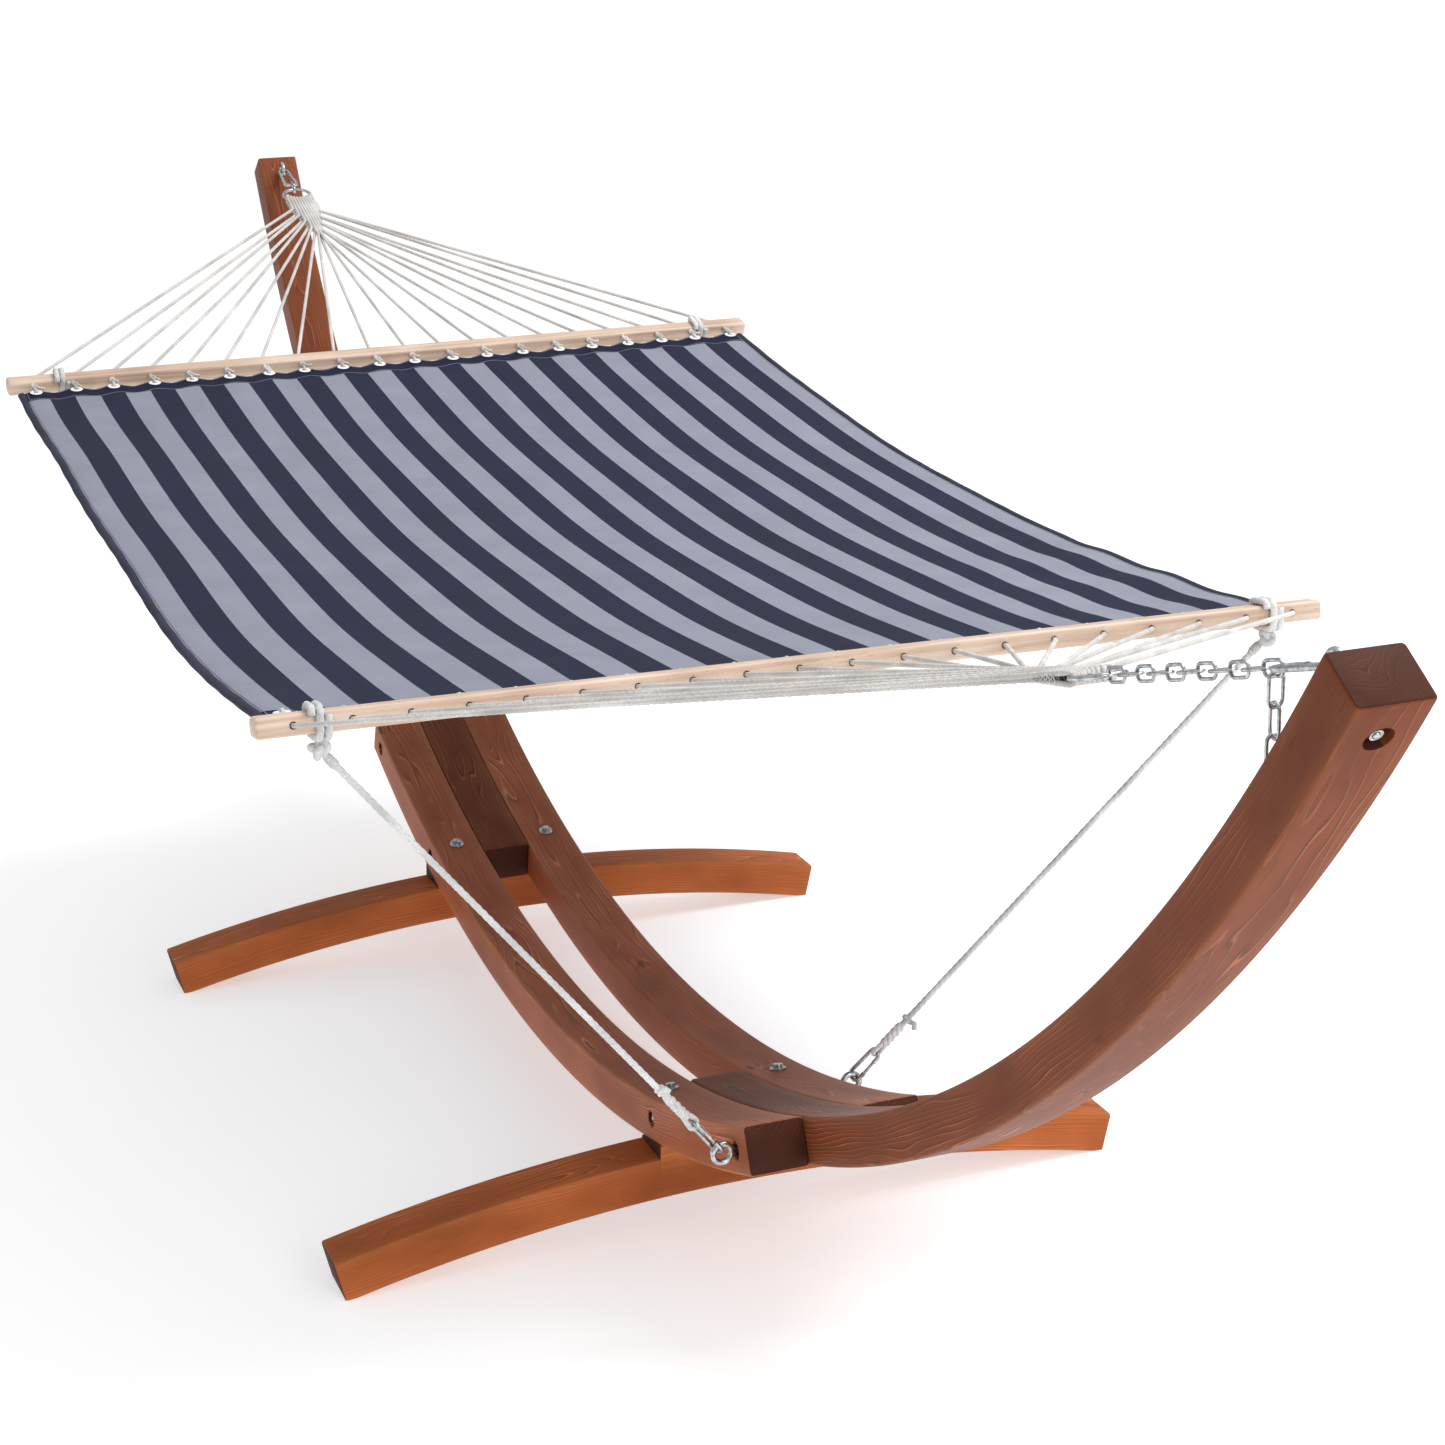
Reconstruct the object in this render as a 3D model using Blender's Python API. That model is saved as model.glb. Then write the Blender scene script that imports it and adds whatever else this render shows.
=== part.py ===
"""Hammock on a curved wooden stand: every solid piece, at rest, in metres, +Z up.

+X runs along the length towards the chain end, +Y runs across, and the floor is z = 0.
The length is scaled from the spreader bars, taken as 1.40 m long with 20 holes.
"""

from math import acos, asin, atan2, cos, degrees, pi, radians, sin, sqrt

import bmesh
import bpy
import numpy as np
from mathutils import Vector

# ---------------------------------------------------------------- driving dimensions
GAP = 0.0004  # clearance between neighbouring pieces

# Stand: arms and rails all lie on one circle, seen from the side
ARC_CENTRE_Z = 2.538
ARC_INNER_RADIUS = 2.407
BEAM_DEPTH = 0.063
BEAM_WIDTH = 0.0805
BEAM_ARRIS = 0.0035
ARM_LOW_DEG = 11.95
ARM_TIP_DEG = 56.66
RAIL_END_DEG = 22.1
MID_RADIUS = ARC_INNER_RADIUS + BEAM_DEPTH / 2
OUTER_RADIUS = ARC_INNER_RADIUS + BEAM_DEPTH
RAIL_Y_IN = BEAM_WIDTH / 2
RAIL_Y_OUT = 1.5 * BEAM_WIDTH

# Cross feet: arched beams, one under each end of the rails
FOOT_X = 0.555
FOOT_SPAN = 1.133
FOOT_WIDTH = 0.077
FOOT_HEIGHT = 0.060
FOOT_ARCH_RADIUS = 2.478
FOOT_ARCH_DROP = 2.4164

# Fasteners
FOOT_SCREW_DEG = 12.72
CROSS_BOLT_INNER_DEG = 13.25
CROSS_BOLT_OUTER_DEG = 21.1
ROD_BOLT = 0.004
HOLE_BOLT = 0.0046
COUNTERBORE_R = 0.0120
COUNTERBORE_DEPTH = 0.012
TIP_BOLT_DEG = 55.6
TIP_COUNTERBORE_R = 0.0145
EYE_MID_R = 0.0125
EYE_ROD_R = 0.004
NEAR_EYE_RADIUS = 2.390  # from the arc centre to the centre of the near arm's eye
FAR_EYE_RADIUS = 2.381
TIE_EYE_LEFT_Y = -0.1385
TIE_EYE_RIGHT_Y = 0.180

# Spreader bars
BAR_LENGTH = 1.40
BAR_WIDTH = 0.032
BAR_THICK = 0.025
BAR_ARRIS = 0.005
HOLE_COUNT = 20
HOLE_PITCH = 0.069
BAR_HOLE_R = 0.0043
NEAR_BAR = (0.880, 0.890, 10.0)  # x, z, tilt in degrees
FAR_BAR = (-1.128, 0.9388, -13.0)
NEAR_BAR_ROLL = -0.86  # degrees: the near bar hangs a little lower on its right

# Fabric bed
BED_X_NEAR = 0.850
BED_X_FAR = -1.098
BED_Z_NEAR = 0.876
BED_Z_FAR = 0.928
BED_SAG = 0.066
BED_HALF_WIDTH = 0.68
BED_THICK = 0.004

# Suspension
RING_MID_R = 0.028
RING_ROD_R = 0.003
LINK_LENGTH = 0.033  # between rod centres
LINK_MID_R = 0.0072
LINK_ROD_R = 0.002
LINK_COUNT = 11
HOOK_ROD_R = 0.0035
HOOK_SMALL_R = 0.0086
HOOK_BIG_R = 0.012
NEAR_RING = (1.5657, 1.066)
FAR_RING_DISTANCE = 0.1325  # from the far eye centre to the far ring centre
CORD_R = 0.0030

# Tie ropes
ROPE_R = 0.004
TIE_Y = 0.625
TIE_HOOK_ROD_R = 0.0028
TIE_HOOK_LENGTH = 0.058
TIE_HOOK_R = 0.0088
TIE_HOOK_TURN = 24.0  # degrees that each small hook is turned about its rope

WOOD_BROWN = (0.25, 0.07, 0.025)
WOOD_PALE = (0.72, 0.50, 0.32)
STEEL = (0.62, 0.63, 0.65)
CORD_WHITE = (0.80, 0.77, 0.72)
ROPE_WHITE = (0.86, 0.86, 0.85)
FABRIC = (0.30, 0.32, 0.42)

for old in list(bpy.data.objects):
    bpy.data.objects.remove(old)

scene = bpy.context.scene
adders = []


# ---------------------------------------------------------------- helpers
def material(name, colour, metallic, roughness):
    """A plain Principled material of its own for one node."""
    made = bpy.data.materials.new(name)
    made.use_nodes = True
    shader = made.node_tree.nodes["Principled BSDF"]
    shader.inputs["Base Color"].default_value = (*colour, 1.0)
    shader.inputs["Metallic"].default_value = metallic
    shader.inputs["Roughness"].default_value = roughness
    made.diffuse_color = (*colour, 1.0)
    return made


def mesh_object(name, points, faces, origin=(0, 0, 0)):
    """An object from world points and faces, its normals outwards and its origin at a given place."""
    mesh = bpy.data.meshes.new(name)
    mesh.from_pydata([tuple(np.subtract(p, origin)) for p in points], [], faces)
    work = bmesh.new()
    work.from_mesh(mesh)
    bmesh.ops.recalc_face_normals(work, faces=work.faces)
    work.to_mesh(mesh)
    work.free()
    mesh.shade_smooth()
    mesh.set_sharp_from_angle(angle=radians(32))
    made = bpy.data.objects.new(name, mesh)
    made.location = origin
    scene.collection.objects.link(made)
    return made


def node(name, shape, colour, metallic=0.0, roughness=0.6, origin=(0, 0, 0), parent=None):
    """One visible piece of the object."""
    made = mesh_object(name, shape[0], shape[1], origin)
    made.data.materials.append(material(name, colour, metallic, roughness))
    if parent:
        made.parent = parent
        made.matrix_parent_inverse = parent.matrix_world.inverted()
    return made


def helper(name, shape):
    """A hidden solid used only by a Boolean."""
    made = mesh_object(name, shape[0], shape[1])
    made.hide_render = True
    made.display_type = "WIRE"
    return made


def boolean(target, tool, operation):
    made = target.modifiers.new(operation.lower(), "BOOLEAN")
    made.operation = operation
    made.solver = "EXACT"
    made.object = tool
    return made


def union_all(target, shapes):
    """Joins each of several clean solids onto the target."""
    for number, shape in enumerate(shapes):
        boolean(target, helper(f"{target.name}_add_{number}", shape), "UNION")


def loft(rings, closed=False):
    """Points and faces of rings joined one to the next, with end faces unless the loft closes on itself."""
    count = len(rings[0])
    points = [tuple(p) for ring in rings for p in ring]
    faces = []
    last = len(rings) if closed else len(rings) - 1
    for i in range(last):
        a = i * count
        b = ((i + 1) % len(rings)) * count
        for j in range(count):
            k = (j + 1) % count
            faces.append((a + j, a + k, b + k, b + j))
    if not closed:
        faces.append(tuple(range(count))[::-1])
        end = (len(rings) - 1) * count
        faces.append(tuple(range(end, end + count)))
    return points, faces


def tube(path, radius, sides=6, closed=False, normal=None, flat=1.0):
    """A round rod along a path that lies in the plane of the given normal, or close to it."""
    path = [Vector(p) for p in path]
    count = len(path)
    rings = []
    up = Vector(normal) if normal else None
    for i, here in enumerate(path):
        before = path[i - 1] if (i > 0 or closed) else here
        after = path[(i + 1) % count] if (i < count - 1 or closed) else here
        into = (here - before).normalized() if (here - before).length > 0 else Vector()
        out = (after - here).normalized() if (after - here).length > 0 else Vector()
        along = (into + out).normalized()
        if up is None:
            up = Vector((0, 0, 1)) if abs(along.z) < 0.9 else Vector((1, 0, 0))
        side = along.cross(up).normalized()
        over = side.cross(along).normalized()
        bend = max(0.35, (along.dot(out) if out.length else 1.0))
        ring = []
        for k in range(sides):
            a = 2 * pi * (k + 0.5) / sides
            r = radius[i] if isinstance(radius, (list, tuple)) else radius
            ring.append(here + side * (r * cos(a) / bend) + over * (r * flat * sin(a)))
        rings.append(ring)
    return loft(rings, closed)


def stack(base, along, sections, sides=12):
    """A turned or hexagonal rod: sections of (distance, radius, shape) set along one straight axis."""
    along = Vector(along).normalized()
    side = along.orthogonal().normalized()
    over = along.cross(side)
    rings = []
    for distance, radius, shape in sections:
        ring = []
        for k in range(sides):
            a = 2 * pi * k / sides
            r = radius * (cos(pi / 6) if shape == "hex" and k % 2 else 1.0)
            ring.append(Vector(base) + along * distance + (side * cos(a) + over * sin(a)) * r)
        rings.append(ring)
    return loft(rings)


def pierced(base, along, sections, bore, sides=12):
    """A nut or washer: the stack of sections with a plain round bore through it."""
    along = Vector(along).normalized()
    side = along.orthogonal().normalized()
    over = along.cross(side)
    rings = []
    ends = [(sections[-1][0], bore, "round"), (sections[0][0], bore, "round")]
    for distance, radius, shape in list(sections) + ends:
        ring = []
        for k in range(sides):
            a = 2 * pi * k / sides
            r = radius * (cos(pi / 6) if shape == "hex" and k % 2 else 1.0)
            ring.append(Vector(base) + along * distance + (side * cos(a) + over * sin(a)) * r)
        rings.append(ring)
    return loft(rings, closed=True)


def join(*shapes):
    """Several shapes kept in one mesh, for a cutter made of separate solids."""
    points = []
    faces = []
    for more, most in shapes:
        start = len(points)
        points += list(more)
        faces += [tuple(start + i for i in face) for face in most]
    return points, faces


def on_arc(degree, radius, y=0.0):
    a = radians(degree)
    return Vector((radius * sin(a), y, ARC_CENTRE_Z - radius * cos(a)))


def inward(degree):
    """The direction from the arc towards its centre."""
    a = radians(degree)
    return Vector((-sin(a), 0.0, cos(a)))


def eight(low_a, high_a, low_b, high_b, cut):
    """The corners of a rectangle with its corners cut off."""
    return [
        (low_a + cut, low_b),
        (high_a - cut, low_b),
        (high_a, low_b + cut),
        (high_a, high_b - cut),
        (high_a - cut, high_b),
        (low_a + cut, high_b),
        (low_a, high_b - cut),
        (low_a, low_b + cut),
    ]


def curved_beam(start, end, y_low, y_high, steps):
    """A square-sectioned beam bent on the common circle."""
    section = eight(y_low, y_high, ARC_INNER_RADIUS, OUTER_RADIUS, BEAM_ARRIS)
    rings = []
    for i in range(steps + 1):
        degree = start + (end - start) * i / steps
        rings.append([on_arc(degree, radius, y) for y, radius in section])
    return loft(rings)


def rail_underside(x):
    """Height of the rails' lower face at x, less the clearance."""
    return ARC_CENTRE_Z - sqrt((OUTER_RADIUS + 0.0003) ** 2 - x * x)


def arched_foot(side):
    """An arched cross foot, flat where it meets the floor, with a raised seat under the rails."""
    end = asin(FOOT_SPAN / 2 / FOOT_ARCH_RADIUS)
    pad = sqrt(FOOT_ARCH_RADIUS**2 - FOOT_ARCH_DROP**2)
    seat = asin((RAIL_Y_OUT - 0.0005) / FOOT_ARCH_RADIUS)
    pad_angle = asin(pad / FOOT_ARCH_RADIUS)
    half = [end, pad_angle, 0.75 * pad_angle, 0.5 * pad_angle, 0.33 * pad_angle, seat]
    wall = 0.0008 / FOOT_ARCH_RADIUS
    stations = [(-a, False) for a in half] + [(-seat + wall, True), (seat - wall, True)]
    stations += [(a, False) for a in reversed(half)]
    low_x = FOOT_X - FOOT_WIDTH / 2
    high_x = FOOT_X + FOOT_WIDTH / 2
    rings = []
    for angle, seated in stations:
        ring = []
        for x, height in eight(low_x, high_x, 0.0, FOOT_HEIGHT, 0.003):
            radius = FOOT_ARCH_RADIUS + height
            y = radius * sin(angle)
            z = radius * cos(angle) - FOOT_ARCH_DROP
            if abs(angle) < 1.01 * seat:
                y = FOOT_ARCH_RADIUS * sin(angle)
            if seated and height > 0.03:
                z = rail_underside(x)
            z = max(z, 0.0) if height < 0.03 else z
            ring.append((side * x, y, z))
        rings.append(ring)
    return loft(rings)


def torus(centre, axis_a, axis_b, mid_radius, rod_radius, steps=16, sides=6):
    centre = Vector(centre)
    a = Vector(axis_a).normalized()
    b = Vector(axis_b).normalized()
    path = []
    for i in range(steps):
        t = 2 * pi * i / steps
        path.append(centre + a * (mid_radius * cos(t)) + b * (mid_radius * sin(t)))
    return tube(path, rod_radius, sides, closed=True, normal=a.cross(b))


def oval_link(start, along, across, length, mid_radius, rod_radius):
    """A chain link: two straight sides and two round ends, its rod starting at one end's rod centre."""
    along = Vector(along).normalized()
    across = Vector(across).normalized()
    low = Vector(start) + along * mid_radius
    high = Vector(start) + along * (length - mid_radius)
    path = []
    for i in range(6):
        t = pi * i / 5 - pi / 2
        path.append(high + along * (mid_radius * cos(t)) + across * (mid_radius * sin(t)))
    for i in range(6):
        t = pi * i / 5 + pi / 2
        path.append(low + along * (mid_radius * cos(t)) + across * (mid_radius * sin(t)))
    return tube(path, rod_radius, 6, closed=True, normal=along.cross(across))


def snap_hook(start, along, across, length, small_r, big_r, rod_r, gate_room):
    """A pear-shaped hook open along one side, and the straight gate that closes it.

    The rod starts at the big end. It returns the body, the gate and the gate's hinge point.
    """
    along = Vector(along).normalized()
    across = Vector(across).normalized()
    start = Vector(start)

    def at(u, w):
        return start + along * u + across * w

    low = (big_r, 0.0)
    high = (length - small_r, 0.0)
    lean = asin((big_r - small_r) / (high[0] - low[0]))
    body = []
    first = pi / 2 - lean
    side_start = Vector((low[0] + big_r * cos(first), big_r * sin(first)))
    side_end = Vector((high[0] + small_r * cos(first), small_r * sin(first)))
    run = side_end - side_start
    total = run.length
    mid_gap = (total - gate_room) / 2
    gate_low = side_start + run * (mid_gap / total)
    gate_high = side_end - run * (mid_gap / total)
    body.append(gate_low)
    for i in range(8):
        t = first + (2 * pi - 2 * first) * i / 7
        body.append(Vector((low[0] + big_r * cos(t), big_r * sin(t))))
    for i in range(6):
        t = -first + 2 * first * i / 5
        body.append(Vector((high[0] + small_r * cos(t), small_r * sin(t))))
    body.append(gate_high)
    normal = along.cross(across)
    shape = tube([at(p.x, p.y) for p in body], rod_r, 6, normal=normal)
    way = run.normalized()
    hinge_gap = 0.0017 * rod_r / 0.0035
    gate_from = gate_low + way * hinge_gap
    gate_to = gate_high - way * 0.0006
    gate_path = [at(gate_from.x, gate_from.y), at(gate_to.x, gate_to.y)]
    gate = tube(gate_path, rod_r * 0.78, 6, normal=normal)
    pin = gate_low + way * (hinge_gap + rod_r * 0.7)
    return shape, gate, at(pin.x, pin.y), normal


def bed_height(x, offset=0.0):
    s = (x - BED_X_FAR) / (BED_X_NEAR - BED_X_FAR)
    return BED_Z_FAR + (BED_Z_NEAR - BED_Z_FAR) * s - 4 * BED_SAG * s * (1 - s) + offset


# ---------------------------------------------------------------- stand
def beam_cutter(name, kind):
    """Every hole through one beam, as one hidden cutter."""
    cuts = []
    ends = (1, -1)
    if kind in ("left", "right"):
        side = -1 if kind == "left" else 1
        for end in ends:
            for degree in (CROSS_BOLT_INNER_DEG, CROSS_BOLT_OUTER_DEG):
                base = on_arc(end * degree, MID_RADIUS, side * (RAIL_Y_IN - 0.01))
                bore_from = RAIL_Y_OUT - RAIL_Y_IN + 0.01 - COUNTERBORE_DEPTH
                cuts.append(
                    stack(
                        base,
                        (0, side, 0),
                        [
                            (0, HOLE_BOLT, "round"),
                            (bore_from, HOLE_BOLT, "round"),
                            (bore_from, COUNTERBORE_R, "round"),
                            (bore_from + 0.03, COUNTERBORE_R, "round"),
                        ],
                    )
                )
            top = on_arc(end * FOOT_SCREW_DEG, ARC_INNER_RADIUS - 0.01, side * BEAM_WIDTH)
            cuts.append(
                stack(top, -inward(end * FOOT_SCREW_DEG), [(0, HOLE_BOLT, "round"), (0.1, HOLE_BOLT, "round")])
            )
    else:
        end = 1 if kind == "near" else -1
        for degree in (CROSS_BOLT_INNER_DEG, CROSS_BOLT_OUTER_DEG):
            base = on_arc(end * degree, MID_RADIUS, -0.06)
            cuts.append(stack(base, (0, 1, 0), [(0, HOLE_BOLT, "round"), (0.12, HOLE_BOLT, "round")]))
        base = on_arc(end * TIP_BOLT_DEG, ARC_INNER_RADIUS - 0.01)
        bore_from = 0.01 + BEAM_DEPTH - COUNTERBORE_DEPTH
        cuts.append(
            stack(
                base,
                -inward(end * TIP_BOLT_DEG),
                [
                    (0, HOLE_BOLT, "round"),
                    (bore_from, HOLE_BOLT, "round"),
                    (bore_from, TIP_COUNTERBORE_R, "round"),
                    (bore_from + 0.03, TIP_COUNTERBORE_R, "round"),
                ],
            )
        )
    return helper(name, join(*cuts))


left_rail = node(
    "left_rail",
    curved_beam(-RAIL_END_DEG, RAIL_END_DEG, -RAIL_Y_OUT, -RAIL_Y_IN, 14),
    WOOD_BROWN,
)
right_rail = node(
    "right_rail",
    curved_beam(-RAIL_END_DEG, RAIL_END_DEG, RAIL_Y_IN, RAIL_Y_OUT, 14),
    WOOD_BROWN,
)
arm_half = RAIL_Y_IN - 0.0005
near_arm = node(
    "near_arm", curved_beam(ARM_LOW_DEG, ARM_TIP_DEG, -arm_half, arm_half, 14), WOOD_BROWN
)
far_arm = node(
    "far_arm", curved_beam(-ARM_TIP_DEG, -ARM_LOW_DEG, -arm_half, arm_half, 14), WOOD_BROWN
)
boolean(left_rail, beam_cutter("left_rail_cuts", "left"), "DIFFERENCE")
boolean(right_rail, beam_cutter("right_rail_cuts", "right"), "DIFFERENCE")
boolean(near_arm, beam_cutter("near_arm_cuts", "near"), "DIFFERENCE")
boolean(far_arm, beam_cutter("far_arm_cuts", "far"), "DIFFERENCE")

for end, place in ((1, "near"), (-1, "far")):
    foot = node(f"{place}_foot", arched_foot(end), WOOD_BROWN)
    cuts = []
    for side, hand in ((-1, "left"), (1, "right")):
        degree = end * FOOT_SCREW_DEG
        top = on_arc(degree, ARC_INNER_RADIUS - GAP, side * BEAM_WIDTH)
        down = -inward(degree)
        screw_depth = BEAM_DEPTH + 0.045
        node(
            f"{place}_{hand}_foot_screw",
            stack(
                top,
                down,
                [
                    (-0.0072, 0.0062, "hex"),
                    (-0.0064, 0.0074, "hex"),
                    (-0.0018, 0.0074, "hex"),
                    (-0.0018, 0.0120, "round"),
                    (0.0, 0.0120, "round"),
                    (0.0, ROD_BOLT, "round"),
                    (screw_depth - 0.006, ROD_BOLT, "round"),
                    (screw_depth, 0.0012, "round"),
                ],
            ),
            STEEL,
            1.0,
            0.35,
        )
        cuts.append(
            stack(
                top + down * (BEAM_DEPTH - 0.01),
                down,
                [(0, HOLE_BOLT, "round"), (0.0565, HOLE_BOLT, "round")],
            )
        )
    boolean(foot, helper(f"{place}_foot_cuts", join(*cuts)), "DIFFERENCE")

floor_of_bore = RAIL_Y_OUT - COUNTERBORE_DEPTH
NUT = [
    (0.0, 0.0105, "round"),
    (0.0016, 0.0105, "round"),
    (0.0016, 0.0074, "hex"),
    (0.0076, 0.0074, "hex"),
]

# Far end: two plain cross bolts, heads on the left and nuts on the right
for degree, place in ((-CROSS_BOLT_INNER_DEG, "far_inner"), (-CROSS_BOLT_OUTER_DEG, "far_outer")):
    base = on_arc(degree, MID_RADIUS, -floor_of_bore - GAP)
    node(
        f"{place}_cross_bolt",
        stack(
            base,
            (0, 1, 0),
            [
                (-0.0072, 0.0062, "hex"),
                (-0.0066, 0.0074, "hex"),
                (-0.0016, 0.0074, "hex"),
                (-0.0016, 0.0105, "round"),
                (0.0, 0.0105, "round"),
                (0.0, ROD_BOLT, "round"),
                (2 * floor_of_bore + 0.0095, ROD_BOLT, "round"),
            ],
        ),
        STEEL,
        1.0,
        0.35,
    )
    seat = on_arc(degree, MID_RADIUS, floor_of_bore + GAP)
    node(f"{place}_nut", pierced(seat, (0, 1, 0), NUT, ROD_BOLT + 0.0003), STEEL, 1.0, 0.35)

# Near end: two long eye bolts, one eye on each side
for side, hand, degree, eye_y in (
    (-1, "left", CROSS_BOLT_OUTER_DEG, TIE_EYE_LEFT_Y),
    (1, "right", CROSS_BOLT_INNER_DEG, TIE_EYE_RIGHT_Y),
):
    centre = on_arc(degree, MID_RADIUS, eye_y)
    washer_at = abs(eye_y) - floor_of_bore
    length = abs(eye_y) + floor_of_bore + 0.0095
    shank = stack(
        centre,
        (0, -side, 0),
        [
            (EYE_MID_R, ROD_BOLT * 0.92, "round"),
            (washer_at - 0.0046, ROD_BOLT * 0.92, "round"),
            (washer_at - 0.0040, 0.0105, "round"),
            (washer_at - GAP, 0.0105, "round"),
            (washer_at - GAP, ROD_BOLT, "round"),
            (length, ROD_BOLT, "round"),
        ],
    )
    eye = node(
        f"{hand}_tie_eye",
        torus(centre, (0, 1, 0), (0, 0, 1), EYE_MID_R, EYE_ROD_R, 14, 6),
        STEEL,
        1.0,
        0.3,
    )
    union_all(eye, [shank])
    seat = on_arc(degree, MID_RADIUS, -side * (floor_of_bore + GAP))
    node(
        f"{hand}_tie_eye_nut", pierced(seat, (0, -side, 0), NUT, ROD_BOLT + 0.0003), STEEL, 1.0, 0.35
    )

# Arm tips: an eye bolt through each arm, its nut sunk in the outer face
for end, place, eye_radius in ((1, "near", NEAR_EYE_RADIUS), (-1, "far", FAR_EYE_RADIUS)):
    degree = end * TIP_BOLT_DEG
    centre = on_arc(degree, eye_radius)
    outwards = -inward(degree)
    seat_distance = OUTER_RADIUS - COUNTERBORE_DEPTH - eye_radius + GAP
    shank = stack(
        centre,
        outwards,
        [(EYE_MID_R, ROD_BOLT, "round"), (seat_distance + 0.0095, ROD_BOLT, "round")],
    )
    eye = node(
        f"{place}_arm_eye",
        torus(centre, (1, 0, 0), (0, 0, 1), EYE_MID_R, EYE_ROD_R, 14, 6),
        STEEL,
        1.0,
        0.3,
    )
    union_all(eye, [shank])
    node(
        f"{place}_arm_nut",
        pierced(centre + outwards * seat_distance, outwards, NUT, ROD_BOLT + 0.0003),
        STEEL,
        1.0,
        0.35,
    )

# ---------------------------------------------------------------- hammock
near_eye = on_arc(TIP_BOLT_DEG, NEAR_EYE_RADIUS)
far_eye = on_arc(-TIP_BOLT_DEG, FAR_EYE_RADIUS)
pivot = bpy.data.objects.new("hammock_pivot", None)
pivot.location = (0, 0, near_eye.z)
scene.collection.objects.link(pivot)
bpy.context.view_layer.update()


def bar_frame(bar):
    """The bar's centre, the direction across its width towards +X, and the direction through its thickness."""
    tilt = radians(bar[2])
    return Vector((bar[0], 0, bar[1])), Vector((cos(tilt), 0, sin(tilt))), Vector((-sin(tilt), 0, cos(tilt)))


def bar_side(bar):
    """The direction along a bar towards +Y."""
    roll = radians(NEAR_BAR_ROLL) if bar == NEAR_BAR else 0.0
    return Vector((0, cos(roll), sin(roll)))


for place, bar in (("near", NEAR_BAR), ("far", FAR_BAR)):
    centre, wide, thick = bar_frame(bar)
    lengthways = bar_side(bar)
    section = eight(-BAR_WIDTH / 2, BAR_WIDTH / 2, -BAR_THICK / 2, BAR_THICK / 2, BAR_ARRIS)
    rings = []
    for y in (-BAR_LENGTH / 2, BAR_LENGTH / 2):
        rings.append([centre + wide * a + thick * b + lengthways * y for a, b in section])
    made = node(f"{place}_spreader_bar", loft(rings), WOOD_PALE, 0.0, 0.55, parent=pivot)
    cuts = []
    for hole in range(HOLE_COUNT):
        y = (hole - (HOLE_COUNT - 1) / 2) * HOLE_PITCH
        base = centre - wide * 0.03 + lengthways * y
        cuts.append(stack(base, wide, [(0, BAR_HOLE_R, "round"), (0.06, BAR_HOLE_R, "round")], 8))
    boolean(made, helper(f"{place}_bar_holes", join(*cuts)), "DIFFERENCE")

# Bed: one sagging sheet
bed_points = []
bed_steps = 16
bed_across = 4
for layer in (-BED_THICK / 2, BED_THICK / 2):
    for i in range(bed_steps + 1):
        x = BED_X_FAR + (BED_X_NEAR - BED_X_FAR) * i / bed_steps
        for j in range(bed_across + 1):
            y = -BED_HALF_WIDTH + 2 * BED_HALF_WIDTH * j / bed_across
            drop = y * (x - BED_X_FAR) / (BED_X_NEAR - BED_X_FAR) * sin(radians(NEAR_BAR_ROLL))
            bed_points.append((x, y, bed_height(x, layer) + drop))
row = bed_across + 1
layer_size = row * (bed_steps + 1)
bed_faces = []
for i in range(bed_steps):
    for j in range(bed_across):
        a = i * row + j
        quad = (a, a + 1, a + row + 1, a + row)
        bed_faces.append(quad)
        bed_faces.append(tuple(layer_size + k for k in reversed(quad)))
rim = [j for j in range(row)]
rim += [i * row + bed_across for i in range(1, bed_steps + 1)]
rim += [bed_steps * row + j for j in reversed(range(bed_across))]
rim += [i * row for i in reversed(range(1, bed_steps))]
for i, a in enumerate(rim):
    b = rim[(i + 1) % len(rim)]
    bed_faces.append((a, b, b + layer_size, a + layer_size))
node("fabric_bed", (bed_points, bed_faces), FABRIC, 0.0, 0.9, parent=pivot)


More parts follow.
